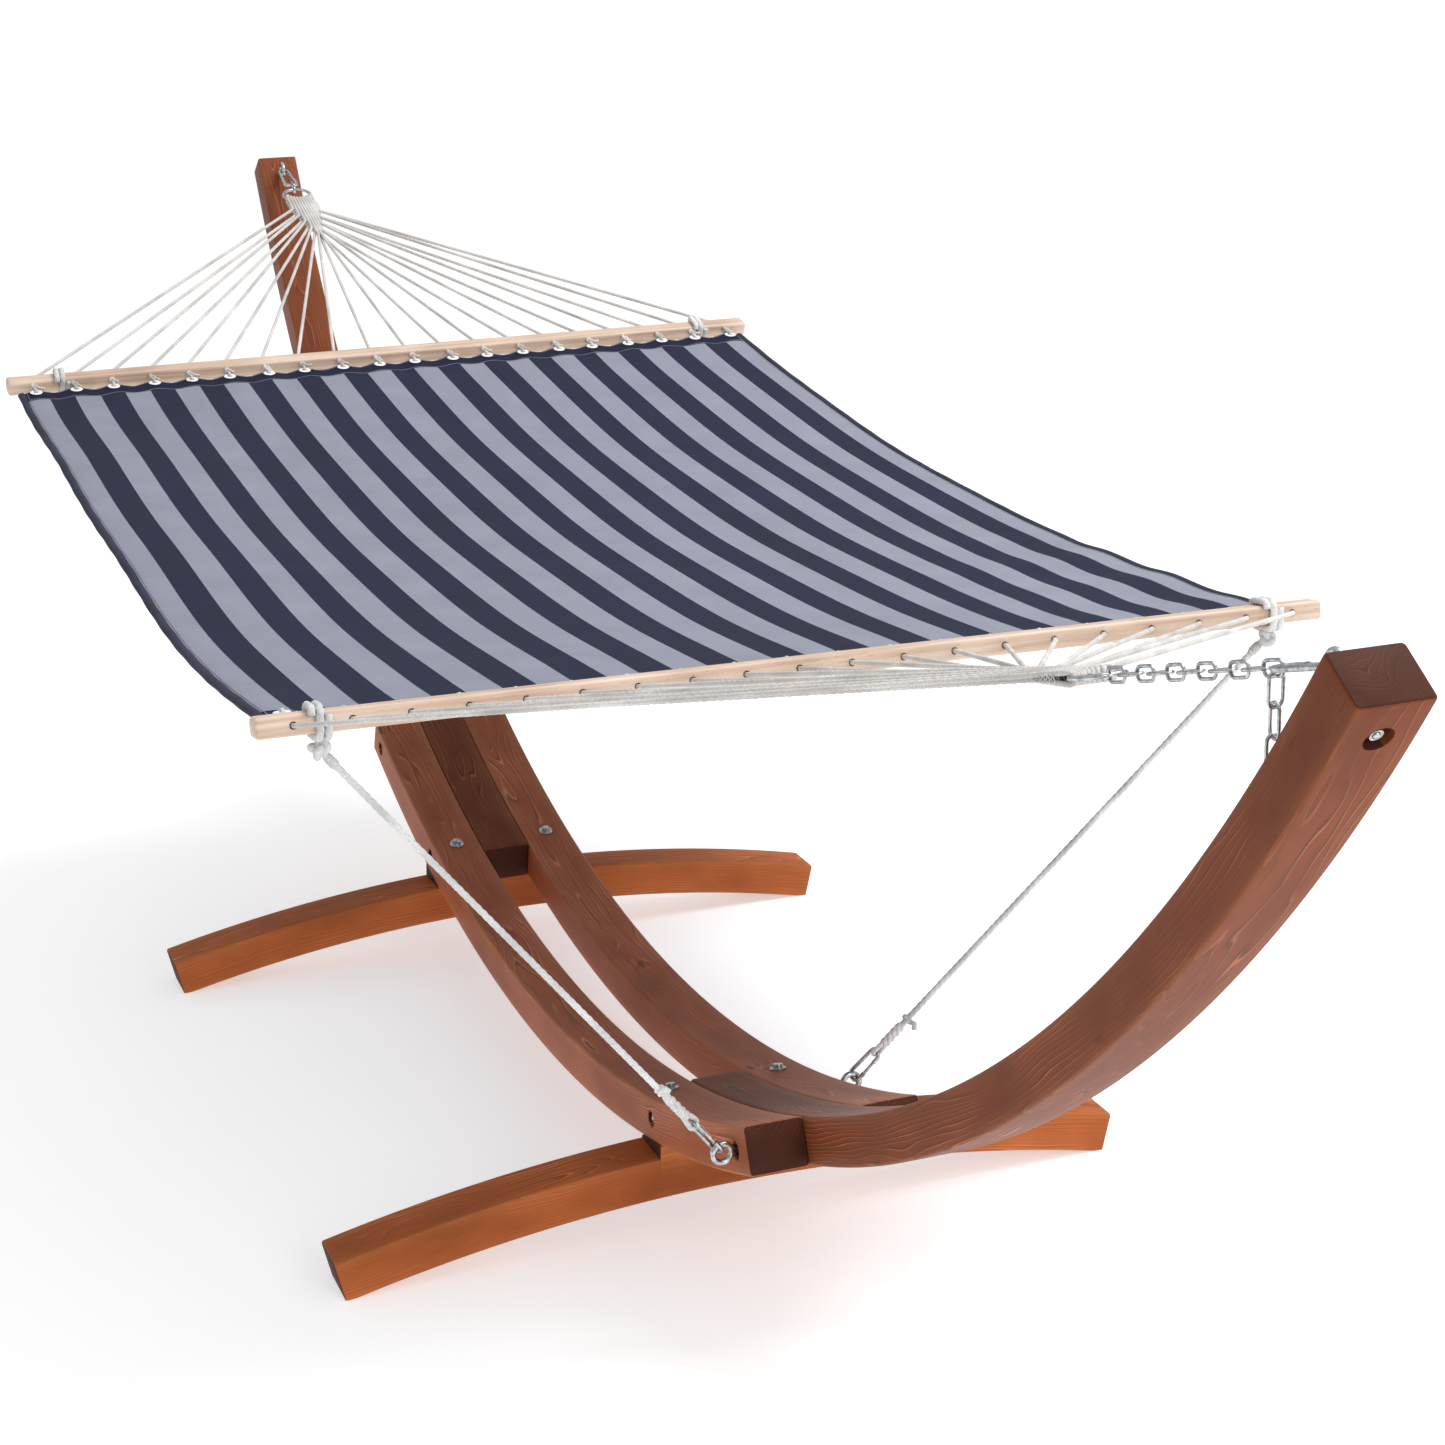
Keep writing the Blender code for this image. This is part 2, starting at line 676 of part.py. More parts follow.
def suspension(place, bar, eye, ring_centre):
    """The ring and the cord fan at one end. It returns the direction from the ring to the eye."""
    to_eye = (eye - ring_centre).normalized()
    ring = torus(ring_centre, to_eye, (0, 1, 0), RING_MID_R, RING_ROD_R, 20, 6)
    node(f"{place}_ring", ring, STEEL, 1.0, 0.25, parent=pivot)
    centre, wide, thick = bar_frame(bar)
    outward = wide * (1 if place == "near" else -1)
    mouth = centre + outward * (BAR_WIDTH / 2)
    to_bar = (mouth - ring_centre).normalized()
    side = Vector((0, 1, 0))
    lengthways = bar_side(bar)
    over = to_bar.cross(side)
    near_end = RING_MID_R + RING_ROD_R + GAP
    web = [(near_end, 0.020), (near_end + 0.03, 0.019), (0.222, 0.008)]
    rings = []
    for distance, half in web:
        here = ring_centre + to_bar * distance
        corners = eight(-half, half, -0.0042, 0.0042, 0.0015)
        rings.append([here + side * a + over * b for a, b in corners])
    fan = node(f"{place}_cord_fan", loft(rings), CORD_WHITE, 0.0, 0.9, parent=pivot)
    shapes = []
    for hole in range(HOLE_COUNT):
        offset = (hole - (HOLE_COUNT - 1) / 2) / ((HOLE_COUNT - 1) / 2)
        leave = 0.075 + 0.143 * (1 - abs(offset))
        half = 0.0185 - 0.0105 * (leave - 0.075) / 0.143
        start = ring_centre + to_bar * (leave - 0.008) + side * ((half - 0.003) * (1 if offset > 0 else -1))
        y = (hole - (HOLE_COUNT - 1) / 2) * HOLE_PITCH
        outer = mouth + outward * 0.004 + lengthways * y
        inner = centre - outward * (BAR_WIDTH / 2 + 0.006) + lengthways * y
        shapes.append(tube([start, outer, inner], CORD_R, 5, normal=over))
    parts = bpy.data.collections.new(f"{place}_cords")
    scene.collection.children.link(parts)
    for number, shape in enumerate(shapes):
        cord = helper(f"{place}_cord_{number}", shape)
        scene.collection.objects.unlink(cord)
        parts.objects.link(cord)
    joined = fan.modifiers.new("union", "BOOLEAN")
    joined.operation = "UNION"
    joined.solver = "EXACT"
    joined.operand_type = "COLLECTION"
    joined.collection = parts
    return to_eye


near_ring = Vector((NEAR_RING[0], 0, NEAR_RING[1]))
far_centre, far_wide, far_thick = bar_frame(FAR_BAR)
far_ring = far_eye + (far_centre - far_eye).normalized() * FAR_RING_DISTANCE
near_way = suspension("near", NEAR_BAR, near_eye, near_ring)
far_way = suspension("far", FAR_BAR, far_eye, far_ring)

ACROSS = Vector((0, 1, 0))
STEP = LINK_LENGTH - 2 * LINK_ROD_R - GAP
FIRST = RING_MID_R - RING_ROD_R - LINK_ROD_R - GAP


def upright(way):
    """The direction square to a suspension line, in the upright plane."""
    return way.cross(ACROSS)


for number in range(LINK_COUNT):
    start = near_ring + near_way * (FIRST + number * STEP)
    plane = upright(near_way) if number % 2 == 0 else ACROSS
    node(
        f"chain_link_{number + 1:02d}",
        oval_link(start, near_way, plane, LINK_LENGTH, LINK_MID_R, LINK_ROD_R),
        STEEL,
        1.0,
        0.3,
        parent=pivot,
    )
node(
    "far_link",
    oval_link(
        far_ring + far_way * FIRST, far_way, upright(far_way), LINK_LENGTH, LINK_MID_R, LINK_ROD_R
    ),
    STEEL,
    1.0,
    0.3,
    parent=pivot,
)


def add_hook(name, start, way, across, length, small_r, big_r, rod_r, room, parent):
    body, gate, pin, normal = snap_hook(start, way, across, length, small_r, big_r, rod_r, room)
    node(f"{name}_hook", body, STEEL, 1.0, 0.25, parent=parent)
    node(f"{name}_hook_gate", gate, STEEL, 1.0, 0.25, origin=tuple(pin), parent=parent)
    return pin, normal


inside = LINK_ROD_R + HOOK_ROD_R + GAP
near_hook_from = near_ring + near_way * (FIRST + (LINK_COUNT - 1) * STEP + LINK_LENGTH - inside)
far_hook_from = far_ring + far_way * (FIRST + LINK_LENGTH - inside)
hook_to_eye = -EYE_MID_R + EYE_ROD_R + HOOK_ROD_R + GAP
near_hook_len = (near_eye - near_hook_from).length + hook_to_eye
far_hook_len = (far_eye - far_hook_from).length + hook_to_eye
pins = {}
pins["near"] = add_hook(
    "near", near_hook_from, near_way, ACROSS, near_hook_len, HOOK_SMALL_R, HOOK_BIG_R, HOOK_ROD_R, 0.032, pivot
)
pins["far"] = add_hook(
    "far", far_hook_from, far_way, ACROSS, far_hook_len, HOOK_SMALL_R, HOOK_BIG_R, HOOK_ROD_R, 0.032, pivot
)

# Spare end of the chain, hanging free from the last taut link
last_plane = upright(near_way)
below = -1 if last_plane.z > 0 else 1
inner_side = LINK_MID_R - 2 * LINK_ROD_R - GAP
spare_top = (
    near_hook_from
    - near_way * (HOOK_ROD_R + LINK_ROD_R + GAP)
    + last_plane * (below * inner_side)
)
DOWN = Vector((0, 0, -1))
spare_parent = pivot
spare_pins = []
for number in range(3):
    start = spare_top + DOWN * (number * STEP)
    held_by = last_plane * below if number == 0 else DOWN
    pin = start + held_by * (2 * LINK_ROD_R + GAP)
    plane = ACROSS if number % 2 == 0 else Vector((1, 0, 0))
    made = node(
        f"spare_link_{number + 1}",
        oval_link(start, DOWN, plane, LINK_LENGTH, LINK_MID_R, LINK_ROD_R),
        STEEL,
        1.0,
        0.3,
        origin=tuple(pin),
        parent=spare_parent,
    )
    bpy.context.view_layer.update()
    spare_parent = made
    spare_pins.append(pin)

# ---------------------------------------------------------------- tie ropes and their hooks
near_centre, near_wide, near_thick = bar_frame(NEAR_BAR)


def bar_loop(centre, wide, thick, y, lengthways):
    """A closed loop of rope round a spreader bar."""
    room = ROPE_R + GAP + 0.0006
    corners = eight(
        -BAR_WIDTH / 2 - room, BAR_WIDTH / 2 + room, -BAR_THICK / 2 - room, BAR_THICK / 2 + room, 0.0072
    )
    path = [centre + wide * a + thick * b + lengthways * y for a, b in corners]
    return tube(path, ROPE_R, 6, closed=True, normal=(0, 1, 0), flat=1.7)


for side, hand, degree, eye_y in (
    (-1, "left", CROSS_BOLT_OUTER_DEG, TIE_EYE_LEFT_Y),
    (1, "right", CROSS_BOLT_INNER_DEG, TIE_EYE_RIGHT_Y),
):
    eye = on_arc(degree, MID_RADIUS, eye_y)
    knot = near_centre - near_thick * (BAR_THICK / 2 + 0.020) + bar_side(NEAR_BAR) * (side * TIE_Y)
    way = (knot - eye).normalized()
    level = (Vector((1, 0, 0)) - way * way.x).normalized()
    across = level * cos(radians(TIE_HOOK_TURN)) + way.cross(level) * sin(radians(TIE_HOOK_TURN))
    eye_top = eye + Vector((0, way.y, way.z)).normalized() * EYE_MID_R
    hook_from = eye_top - way * (EYE_ROD_R + TIE_HOOK_ROD_R + 2 * GAP)
    pins[f"{hand}_tie"] = add_hook(
        f"{hand}_tie", hook_from, way, across, TIE_HOOK_LENGTH, 0.0078, TIE_HOOK_R, TIE_HOOK_ROD_R, 0.024, None
    )
    top = hook_from + way * (TIE_HOOK_LENGTH + TIE_HOOK_ROD_R + GAP)
    run = (knot - top).length
    rope = node(
        f"{hand}_tie_rope",
        stack(
            top,
            way,
            [
                (0.0, 0.0035, "round"),
                (0.004, 0.0066, "round"),
                (0.052, 0.0066, "round"),
                (0.056, 0.0085, "round"),
                (0.064, 0.0085, "round"),
                (0.069, ROPE_R, "round"),
                (run - 0.020, ROPE_R, "round"),
                (run - 0.012, 0.0100, "round"),
                (run + 0.006, 0.0115, "round"),
                (run + 0.014, 0.0070, "round"),
            ],
            8,
        ),
        ROPE_WHITE,
        0.0,
        0.85,
        parent=pivot,
    )
    union_all(rope, [bar_loop(near_centre, near_wide, near_thick, side * TIE_Y, bar_side(NEAR_BAR))])
    node(
        f"far_{hand}_bar_loop",
        bar_loop(far_centre, far_wide, far_thick, side * (TIE_Y - 0.02), bar_side(FAR_BAR)),
        ROPE_WHITE,
        0.0,
        0.85,
        parent=pivot,
    )

# Places the record quotes, printed for whoever keeps it
print("near eye", tuple(round(v, 5) for v in near_eye), "pivot height", round(near_eye.z, 5))
for name, (pin, normal) in pins.items():
    print(name, "gate hinge", tuple(round(v, 5) for v in pin), "axis", tuple(round(v, 4) for v in normal))
for number, pin in enumerate(spare_pins):
    print("spare link", number + 1, tuple(round(v, 5) for v in pin))
print("near ring", tuple(round(v, 4) for v in near_ring), "far ring", tuple(round(v, 4) for v in far_ring))
print("near hook length", round(near_hook_len, 4), "far hook length", round(far_hook_len, 4))
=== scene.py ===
# %% [markdown]
# # A striped hammock on a curved wooden stand
# The frame holds every solid piece of the hammock as a plain block or tube, at its true size.
# These cells give each of them its real surface: bent larch beams with growth rings, a quilted striped
# bed, fans of twisted cord, welded chain and bright zinc fittings. Everything is in metres: +X runs
# along the stand to the arm with the chain, +Y runs across it, and the floor is z = 0.

import bpy
import numpy as np
from mathutils import Matrix, Vector


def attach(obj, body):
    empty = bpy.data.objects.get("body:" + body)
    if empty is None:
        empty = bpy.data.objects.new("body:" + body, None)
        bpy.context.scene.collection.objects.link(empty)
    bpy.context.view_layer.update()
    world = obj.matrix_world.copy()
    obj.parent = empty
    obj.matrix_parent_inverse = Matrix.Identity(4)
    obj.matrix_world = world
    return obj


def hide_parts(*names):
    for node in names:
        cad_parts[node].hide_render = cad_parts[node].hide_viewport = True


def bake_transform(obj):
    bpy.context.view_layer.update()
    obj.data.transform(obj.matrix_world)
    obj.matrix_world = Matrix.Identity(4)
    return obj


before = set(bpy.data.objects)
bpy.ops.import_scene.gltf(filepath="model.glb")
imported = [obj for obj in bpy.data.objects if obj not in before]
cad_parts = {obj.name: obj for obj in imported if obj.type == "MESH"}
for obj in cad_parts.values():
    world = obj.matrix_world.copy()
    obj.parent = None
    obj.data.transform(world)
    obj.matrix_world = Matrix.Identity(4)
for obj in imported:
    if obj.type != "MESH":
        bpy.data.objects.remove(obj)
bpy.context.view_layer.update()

# %% [markdown]
# ## The driving sizes
# Both arms and both rails are cut to one circle, whose centre hangs far above the floor. Almost every
# fitting on the stand can be placed by its angle on that circle, so a few sizes place them all. They
# are the sizes that the frame's own solids were made with.

# %% Sizes that the frame was made with
ARC_CENTRE_Z = 2.538
ARC_INNER = 2.407
BEAM_DEPTH = 0.063
BEAM_WIDTH = 0.0805
ARC_MID = ARC_INNER + BEAM_DEPTH / 2
ARC_OUTER = ARC_INNER + BEAM_DEPTH
ARM_LOW = 11.95
ARM_TIP = 56.66
RAIL_END = 22.1
FOOT_X = 0.555
FOOT_SPAN = 1.133
FOOT_WIDTH = 0.077
FOOT_HEIGHT = 0.060
FOOT_ARCH = 2.478
FOOT_DROP = 2.4164
FOOT_SCREW = 12.72
CROSS_INNER = 13.25
CROSS_OUTER = 21.1
BORE_DEPTH = 0.012
TIP_BOLT = 55.6
EYE_MID = 0.0125
EYE_ROD = 0.004
BOLT_ROD = 0.004
NEAR_EYE_RADIUS = 2.390
FAR_EYE_RADIUS = 2.381
BAR_LENGTH = 1.40
BAR_WIDTH = 0.032
BAR_THICK = 0.025
HOLE_COUNT = 20
HOLE_PITCH = 0.069
CORD_R = 0.0030
ROPE_R = 0.004
STRANDS = 3
STRAND_DEPTH = 0.10
CORD_LAY = 0.030
ROPE_LAY = 0.034
UP = np.array((0.0, 0.0, 1.0))
ACROSS = np.array((0.0, 1.0, 0.0))
ALONG = np.array((1.0, 0.0, 0.0))


def unit(vector):
    """Vectors divided by their own lengths."""
    vector = np.asarray(vector, float)
    return vector / np.linalg.norm(vector, axis=-1, keepdims=True)


def on_arc(degree, radius, y=0.0):
    """The point at an angle from straight down, at a radius from the stand's arc centre."""
    angle = np.radians(degree)
    return np.array((radius * np.sin(angle), y, ARC_CENTRE_Z - radius * np.cos(angle)))


def inward(degree):
    """The direction from the beams towards the arc's centre."""
    angle = np.radians(degree)
    return np.array((-np.sin(angle), 0.0, np.cos(angle)))


# %% [markdown]
# ## The camera
# It stands beyond the chain end, a little to the left, 1.9 m up, and looks down the length of the bed
# with a 70 mm lens, so the near arm looms large and the far one is small.

# %% Camera
CAMERA_PLACE = (3.8888, -1.2917, 1.8727)
CAMERA_LOOKS = (-0.89808, 0.34233, -0.27614)
CAMERA_ROLL = -0.975
camera_data = bpy.data.cameras.new("camera")
camera_data.lens = 70.0
camera_data.sensor_width = 36.0
camera_data.shift_x = 0.0091
camera_data.shift_y = -0.0624
camera = bpy.data.objects.new("camera", camera_data)
aim = Vector(CAMERA_LOOKS).to_track_quat("-Z", "Y").to_matrix().to_4x4()
roll = Matrix.Rotation(np.radians(CAMERA_ROLL), 4, "Z")
camera.matrix_world = Matrix.Translation(CAMERA_PLACE) @ aim @ roll
bpy.context.scene.collection.objects.link(camera)
bpy.context.scene.camera = camera

# %% [markdown]
# ## Surfaces from arrays
# A surface is a grid of points, one row for each station along it. `sheet_of` turns the grid into
# faces, closing it on itself where it is a tube or a ring. `piece` gathers one or more such surfaces
# into one object, turns any closed one that came out inside out, and puts it on its body.


# %% Grids into faces
def sheet_of(points, around=False, along=False, caps=False, uv=None):
    """Faces of a grid of points, and the texture place of each face's corners.

    Rows are joined to the next row and columns to the next column. around closes each row on itself,
    along joins the last row to the first, and caps closes the two end rows with one face each.
    """
    rows, columns = points.shape[:2]
    i = np.arange(rows if along else rows - 1)[:, None]
    j = np.arange(columns if around else columns - 1)[None, :]
    corners = [(i, j), (i, j + 1), (i + 1, j + 1), (i + 1, j)]
    quads = np.stack([(a % rows) * columns + (b % columns) + 0 * i for a, b in corners], -1)
    quads = quads.reshape(-1, 4)
    if uv is None:
        down = np.arange(rows + 1) / rows
        over = np.arange(columns + 1) / columns
        uv = np.stack(np.meshgrid(down, over, indexing="ij"), -1)
    places = np.stack([uv[a + 0 * b, b + 0 * a] for a, b in corners], -2).reshape(-1, 4, 2)
    rings = []
    if caps:
        rings = [list(range(columns))[::-1], list(range((rows - 1) * columns, rows * columns))]
    flat = points.reshape(-1, 3)
    if around and (caps or along):
        a, b, c, d = (flat[quads[:, k]] for k in range(4))
        middle = flat.mean(0)
        volume = np.einsum("ij,ij->", a - middle, np.cross(b - middle, c - middle))
        volume += np.einsum("ij,ij->", a - middle, np.cross(c - middle, d - middle))
        if volume < 0:
            quads = quads[:, ::-1]
            places = places[:, ::-1]
            rings = [ring[::-1] for ring in rings]
    return flat, quads, rings, places


def build_mesh(name, surfaces):
    """One mesh from several surfaces, with a UV map that holds each one's texture places."""
    points = np.concatenate([s[0] for s in surfaces])
    faces = []
    places = []
    start = 0
    for flat, quads, rings, uv in surfaces:
        faces += (quads + start).tolist()
        places.append(uv.reshape(-1, 2))
        for ring in rings:
            faces.append([k + start for k in ring])
            places.append(np.zeros((len(ring), 2)))
        start += len(flat)
    mesh = bpy.data.meshes.new(name)
    mesh.from_pydata(points.tolist(), [], faces)
    layer = mesh.uv_layers.new(name="UVMap")
    layer.data.foreach_set("uv", np.concatenate(places).astype(np.float32).ravel())
    return mesh


def piece(name, surfaces, material, body, *nodes, slot=None, sharp=35.0):
    """An object at the origin made of these surfaces. It rides on a body and stands for CAD nodes."""
    mesh = build_mesh(name, surfaces)
    mesh.shade_smooth()
    mesh.set_sharp_from_angle(angle=np.radians(sharp))
    mesh.materials.append(material)
    made = bpy.data.objects.new(name, mesh)
    bpy.context.scene.collection.objects.link(made)
    if nodes:
        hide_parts(*nodes)
    if body:
        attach(made, body)
    return made


# %% [markdown]
# ## Tubes, turned pieces and routes
# Rope, wire, chain and hooks are all a section carried along a path. `tube` takes the path as an array
# and can twist a lobed section as it goes, which is how laid rope gets its strands.


# %% Section carried along a path
def tube(path, radius, sides=12, closed=False, facing=UP, lobes=0, pitch=1.0, depth=0.0, flat=1.0):
    """A rod along a path. The section's side is square to the path and to the facing direction.

    With lobes, the radius grows and shrinks as depth * cos(lobes * (angle - turn)), and the turn goes
    once round for each pitch of length, as strands do. flat stretches the section across the path.
    """
    path = np.asarray(path, float)
    ahead = np.roll(path, -1, 0)
    behind = np.roll(path, 1, 0)
    if not closed:
        ahead[-1] = 2 * path[-1] - path[-2]
        behind[0] = 2 * path[0] - path[1]
    heading = unit(ahead - behind)
    side = unit(np.cross(heading, facing))
    over = np.cross(side, heading)
    steps = np.linalg.norm(np.diff(path, axis=0), axis=1)
    length = np.concatenate([[0.0], np.cumsum(steps)])
    angle = 2 * np.pi * (np.arange(sides) + 0.5) / sides
    turn = 2 * np.pi * length / pitch
    swell = np.ones((len(path), sides))
    if lobes:
        swell = 1 + depth * np.cos(lobes * (angle[None, :] - turn[:, None]))
    reach = (np.broadcast_to(radius, len(path))[:, None] * swell)[..., None]
    points = path[:, None] + reach * (
        side[:, None] * np.cos(angle)[None, :, None] * flat + over[:, None] * np.sin(angle)[None, :, None]
    )
    total = length[-1] + (np.linalg.norm(path[0] - path[-1]) if closed else steps[-1])
    along = np.concatenate([length, [total]])
    uv = np.stack(np.meshgrid(along, np.arange(sides + 1) / sides, indexing="ij"), -1)
    return sheet_of(points, around=True, along=closed, caps=not closed, uv=uv)


def turned(base, axis, distances, radii, sides=32, hexed=None, along=False):
    """A turned piece: a radius at each distance along an axis. Stations marked in hexed get six flats.

    The radius of a hexagon at an angle is the flat's distance over the cosine of the angle to it.
    """
    axis = unit(axis)
    helper = ALONG if abs(axis[0]) < 0.7 else ACROSS
    side = unit(np.cross(axis, helper))
    over = np.cross(axis, side)
    angle = 2 * np.pi * (np.arange(sides) + 0.5) / sides
    six = np.cos(np.pi / 6) / np.cos((angle + np.pi / 6) % (np.pi / 3) - np.pi / 6)
    shape = np.ones((len(distances), sides))
    if hexed is not None:
        shape = np.where(np.asarray(hexed, bool)[:, None], six[None, :], shape)
    radii = (np.asarray(radii, float)[:, None] * shape)[..., None]
    ring = side[None] * np.cos(angle)[:, None] + over[None] * np.sin(angle)[:, None]
    centres = np.asarray(base)[None, None] + np.asarray(distances, float)[:, None, None] * axis
    points = centres + radii * ring[None]
    return sheet_of(points, around=True, along=along, caps=not along)


def lengths_along(path):
    """The length of the path from its start to each of its points."""
    return np.concatenate([[0.0], np.cumsum(np.linalg.norm(np.diff(path, axis=0), axis=1))])


def route(points, step, soften):
    """A path through straight stretches, resampled evenly and then smoothed by a running average.

    The average's window is a raised cosine of the soften length, which rounds each corner and leaves
    straight stretches straight.
    """
    points = np.asarray(points, float)
    length = lengths_along(points)
    count = max(4, int(round(length[-1] / step)) + 1)
    at = np.linspace(0, length[-1], count)
    even = np.stack([np.interp(at, length, points[:, k]) for k in range(3)], -1)
    half = max(1, int(round(soften / (2 * length[-1] / (count - 1)))))
    window = 1 + np.cos(np.pi * np.arange(-half, half + 1) / (half + 1))
    window /= window.sum()
    before = 2 * even[0] - even[half:0:-1]
    after = 2 * even[-1] - even[-2 : -half - 2 : -1]
    padded = np.concatenate([before, even, after])
    return np.stack([np.convolve(padded[:, k], window, "valid") for k in range(3)], -1)


def path_length(path):
    """The sum of the distances between neighbouring points."""
    return float(np.linalg.norm(np.diff(path, axis=0), axis=1).sum())


# %% [markdown]
# ## Colours and node trees
# Colours are given as the sRGB hex values that a paint chart would show, and one function turns them
# into the linear numbers that Blender mixes. One more function adds a node with its settings, its
# values and its links, so that each material below reads as a list of steps.


# %% Colour and node helpers
def linear(code):
    """An sRGB hex colour as linear RGBA: each channel to the power 2.4 above its straight toe."""
    value = np.array([int(code[k : k + 2], 16) / 255 for k in (0, 2, 4)])
    value = np.where(value <= 0.04045, value / 12.92, ((value + 0.055) / 1.055) ** 2.4)
    return (*value, 1.0)


def add(tree, kind, inputs=None, stops=None, **settings):
    """Adds a shader node of a kind. Settings are its properties, stops a ramp's places and colours, and
    inputs holds for each socket a value or another node's output."""
    made = tree.nodes.new("ShaderNode" + kind)
    for key, value in settings.items():
        setattr(made, key, value)
    for socket, value in (inputs or {}).items():
        if isinstance(value, bpy.types.NodeSocket):
            tree.links.new(value, made.inputs[socket])
        else:
            made.inputs[socket].default_value = value
    if stops:
        ramp = made.color_ramp
        while len(ramp.elements) < len(stops):
            ramp.elements.new(0.5)
        for element, (place, colour) in zip(ramp.elements, stops):
            element.position = place
            element.color = colour
    return made


def new_material(name, roughness, metallic=0.0):
    """A material with only its Principled shader, and that shader's tree."""
    made = bpy.data.materials.new(name)
    made.use_nodes = True
    shader = made.node_tree.nodes["Principled BSDF"]
    shader.inputs["Roughness"].default_value = roughness
    shader.inputs["Metallic"].default_value = metallic
    return made, made.node_tree, shader


# %% [markdown]
# ## Twisted cord and rope
# The fans are cotton-rich cord, off-white and matt, with three strands laid up to 6 mm. The tie ropes
# are whiter 8 mm polyester. The strands are real shape in both, so the material only adds the fine
# yarns, which run the other way round the cord, and a little soiling.


# %% Cord and rope materials
def laid_fibre(name, light, dark, yarn_mm):
    """Spun fibre: fine slanting yarns across the strands and a slow change of tone along the cord."""
    made, tree, shader = new_material(name, 0.85)
    place = add(tree, "TexCoord")
    slant = add(tree, "Mapping", {"Vector": place.outputs["UV"], "Scale": (1000 / yarn_mm, 9.0, 1.0)})
    yarn = add(tree, "TexNoise", {"Vector": slant.outputs[0], "Scale": 1.0, "Detail": 3.0})
    cloud = add(tree, "TexNoise", {"Vector": place.outputs["Object"], "Scale": 14.0, "Detail": 2.0})
    mixed = add(
        tree,
        "Math",
        {0: yarn.outputs["Fac"], 1: cloud.outputs["Fac"]},
        operation="MULTIPLY",
    )
    tone = add(
        tree,
        "ValToRGB",
        {"Fac": mixed.outputs[0]},
        stops=[(0.12, linear(dark)), (0.42, linear(light))],
    )
    bump = add(tree, "Bump", {"Height": yarn.outputs["Fac"], "Strength": 0.5, "Distance": 0.0006})
    tree.links.new(tone.outputs["Color"], shader.inputs["Base Color"])
    tree.links.new(bump.outputs["Normal"], shader.inputs["Normal"])
    return made


cotton_cord = laid_fibre("cotton_cord", "E1DEDB", "AEAAA6", 2.2)
polyester_rope = laid_fibre("polyester_rope", "EEEEED", "B8B8B8", 2.6)

# %% [markdown]
# ## Spreader bars, rings and eyes: where the cords go
# The cords come first, because their routes are the longest. Each bar is tilted so that its holes point
# along the pull. The rings sit on the straight line from each bar to the eye in its arm.

# %% Places of the bars, rings and eyes
NEAR_BAR = (0.880, 0.890, 10.0)
FAR_BAR = (-1.128, 0.9388, -13.0)
NEAR_ROLL = np.radians(-0.86)
near_eye = on_arc(TIP_BOLT, NEAR_EYE_RADIUS)
far_eye = on_arc(-TIP_BOLT, FAR_EYE_RADIUS)
near_ring = np.array((1.5657, 0.0, 1.066))
FAR_RING_DISTANCE = 0.1325
RING_MID = 0.028
RING_ROD = 0.003


def bar_frame(bar):
    """A bar's centre, the direction of its holes towards +X, and the direction of its thickness."""
    tilt = np.radians(bar[2])
    wide = np.array((np.cos(tilt), 0.0, np.sin(tilt)))
    thick = np.array((-np.sin(tilt), 0.0, np.cos(tilt)))
    return np.array((bar[0], 0.0, bar[1])), wide, thick


near_centre, near_wide, near_thick = bar_frame(NEAR_BAR)
near_side = np.array((0.0, np.cos(NEAR_ROLL), np.sin(NEAR_ROLL)))
far_centre, far_wide, far_thick = bar_frame(FAR_BAR)
far_ring = far_eye + unit(far_centre - far_eye) * FAR_RING_DISTANCE
near_way = unit(near_eye - near_ring)
far_way = unit(far_eye - far_ring)
hole_y = (np.arange(HOLE_COUNT) - (HOLE_COUNT - 1) / 2) * HOLE_PITCH
print("rings at", near_ring.round(4), far_ring.round(4))

# %% [markdown]
# ## The cord fans
# Ten lengths of cord make each fan. A length starts in a knot at the bed, goes through a hole of the
# bar, runs up to the ring, turns over it and comes back to the next hole. Near the ring the twenty
# runs lie side by side in two layers, and a weft is woven across them, so that they hold a flat
# triangle. The outermost runs leave the triangle first.

# %% Cord fans
RUN_PITCH = 0.0028
LAYER = 0.0029
WEB_START = 0.075
WEB_LENGTH = 0.143
KNOT_AWAY = 0.012


def fan_route(ring, way, centre, outward, over, lengthways, first):
    """One looped cord's route: knot, hole, leaving point, over the ring, and the same back."""
    mouth = centre + outward * (BAR_WIDTH / 2)
    down = unit(mouth - ring)
    run_y = (np.arange(HOLE_COUNT) - (HOLE_COUNT - 1) / 2) * RUN_PITCH
    loop_y = run_y[first : first + 2].mean()
    seat = ring - way * np.sqrt(RING_MID**2 - loop_y**2) + ACROSS * loop_y
    radial = unit(seat - ring)
    turn = np.linspace(0, np.pi, 7)
    wrap = RING_ROD + CORD_R + 0.0002
    square = np.cross(way, ACROSS)
    square = square * np.sign(square @ over)
    loop = seat + wrap * (np.cos(turn)[:, None] * square - np.sin(turn)[:, None] * radial)
    points = []
    for number, layer in ((first, LAYER), (first + 1, -LAYER)):
        share = abs(number - (HOLE_COUNT - 1) / 2) / ((HOLE_COUNT - 1) / 2)
        leave = WEB_START + WEB_LENGTH * (1 - share)
        side = lengthways * hole_y[number]
        inner = centre - outward * (BAR_WIDTH / 2 + KNOT_AWAY) + side
        outer = mouth + outward * 0.003 + side
        corner = ring + down * leave + ACROSS * run_y[number] + over * layer
        points.append(np.array([inner, outer, corner]))
    return np.concatenate([points[0], loop, points[1][::-1]])


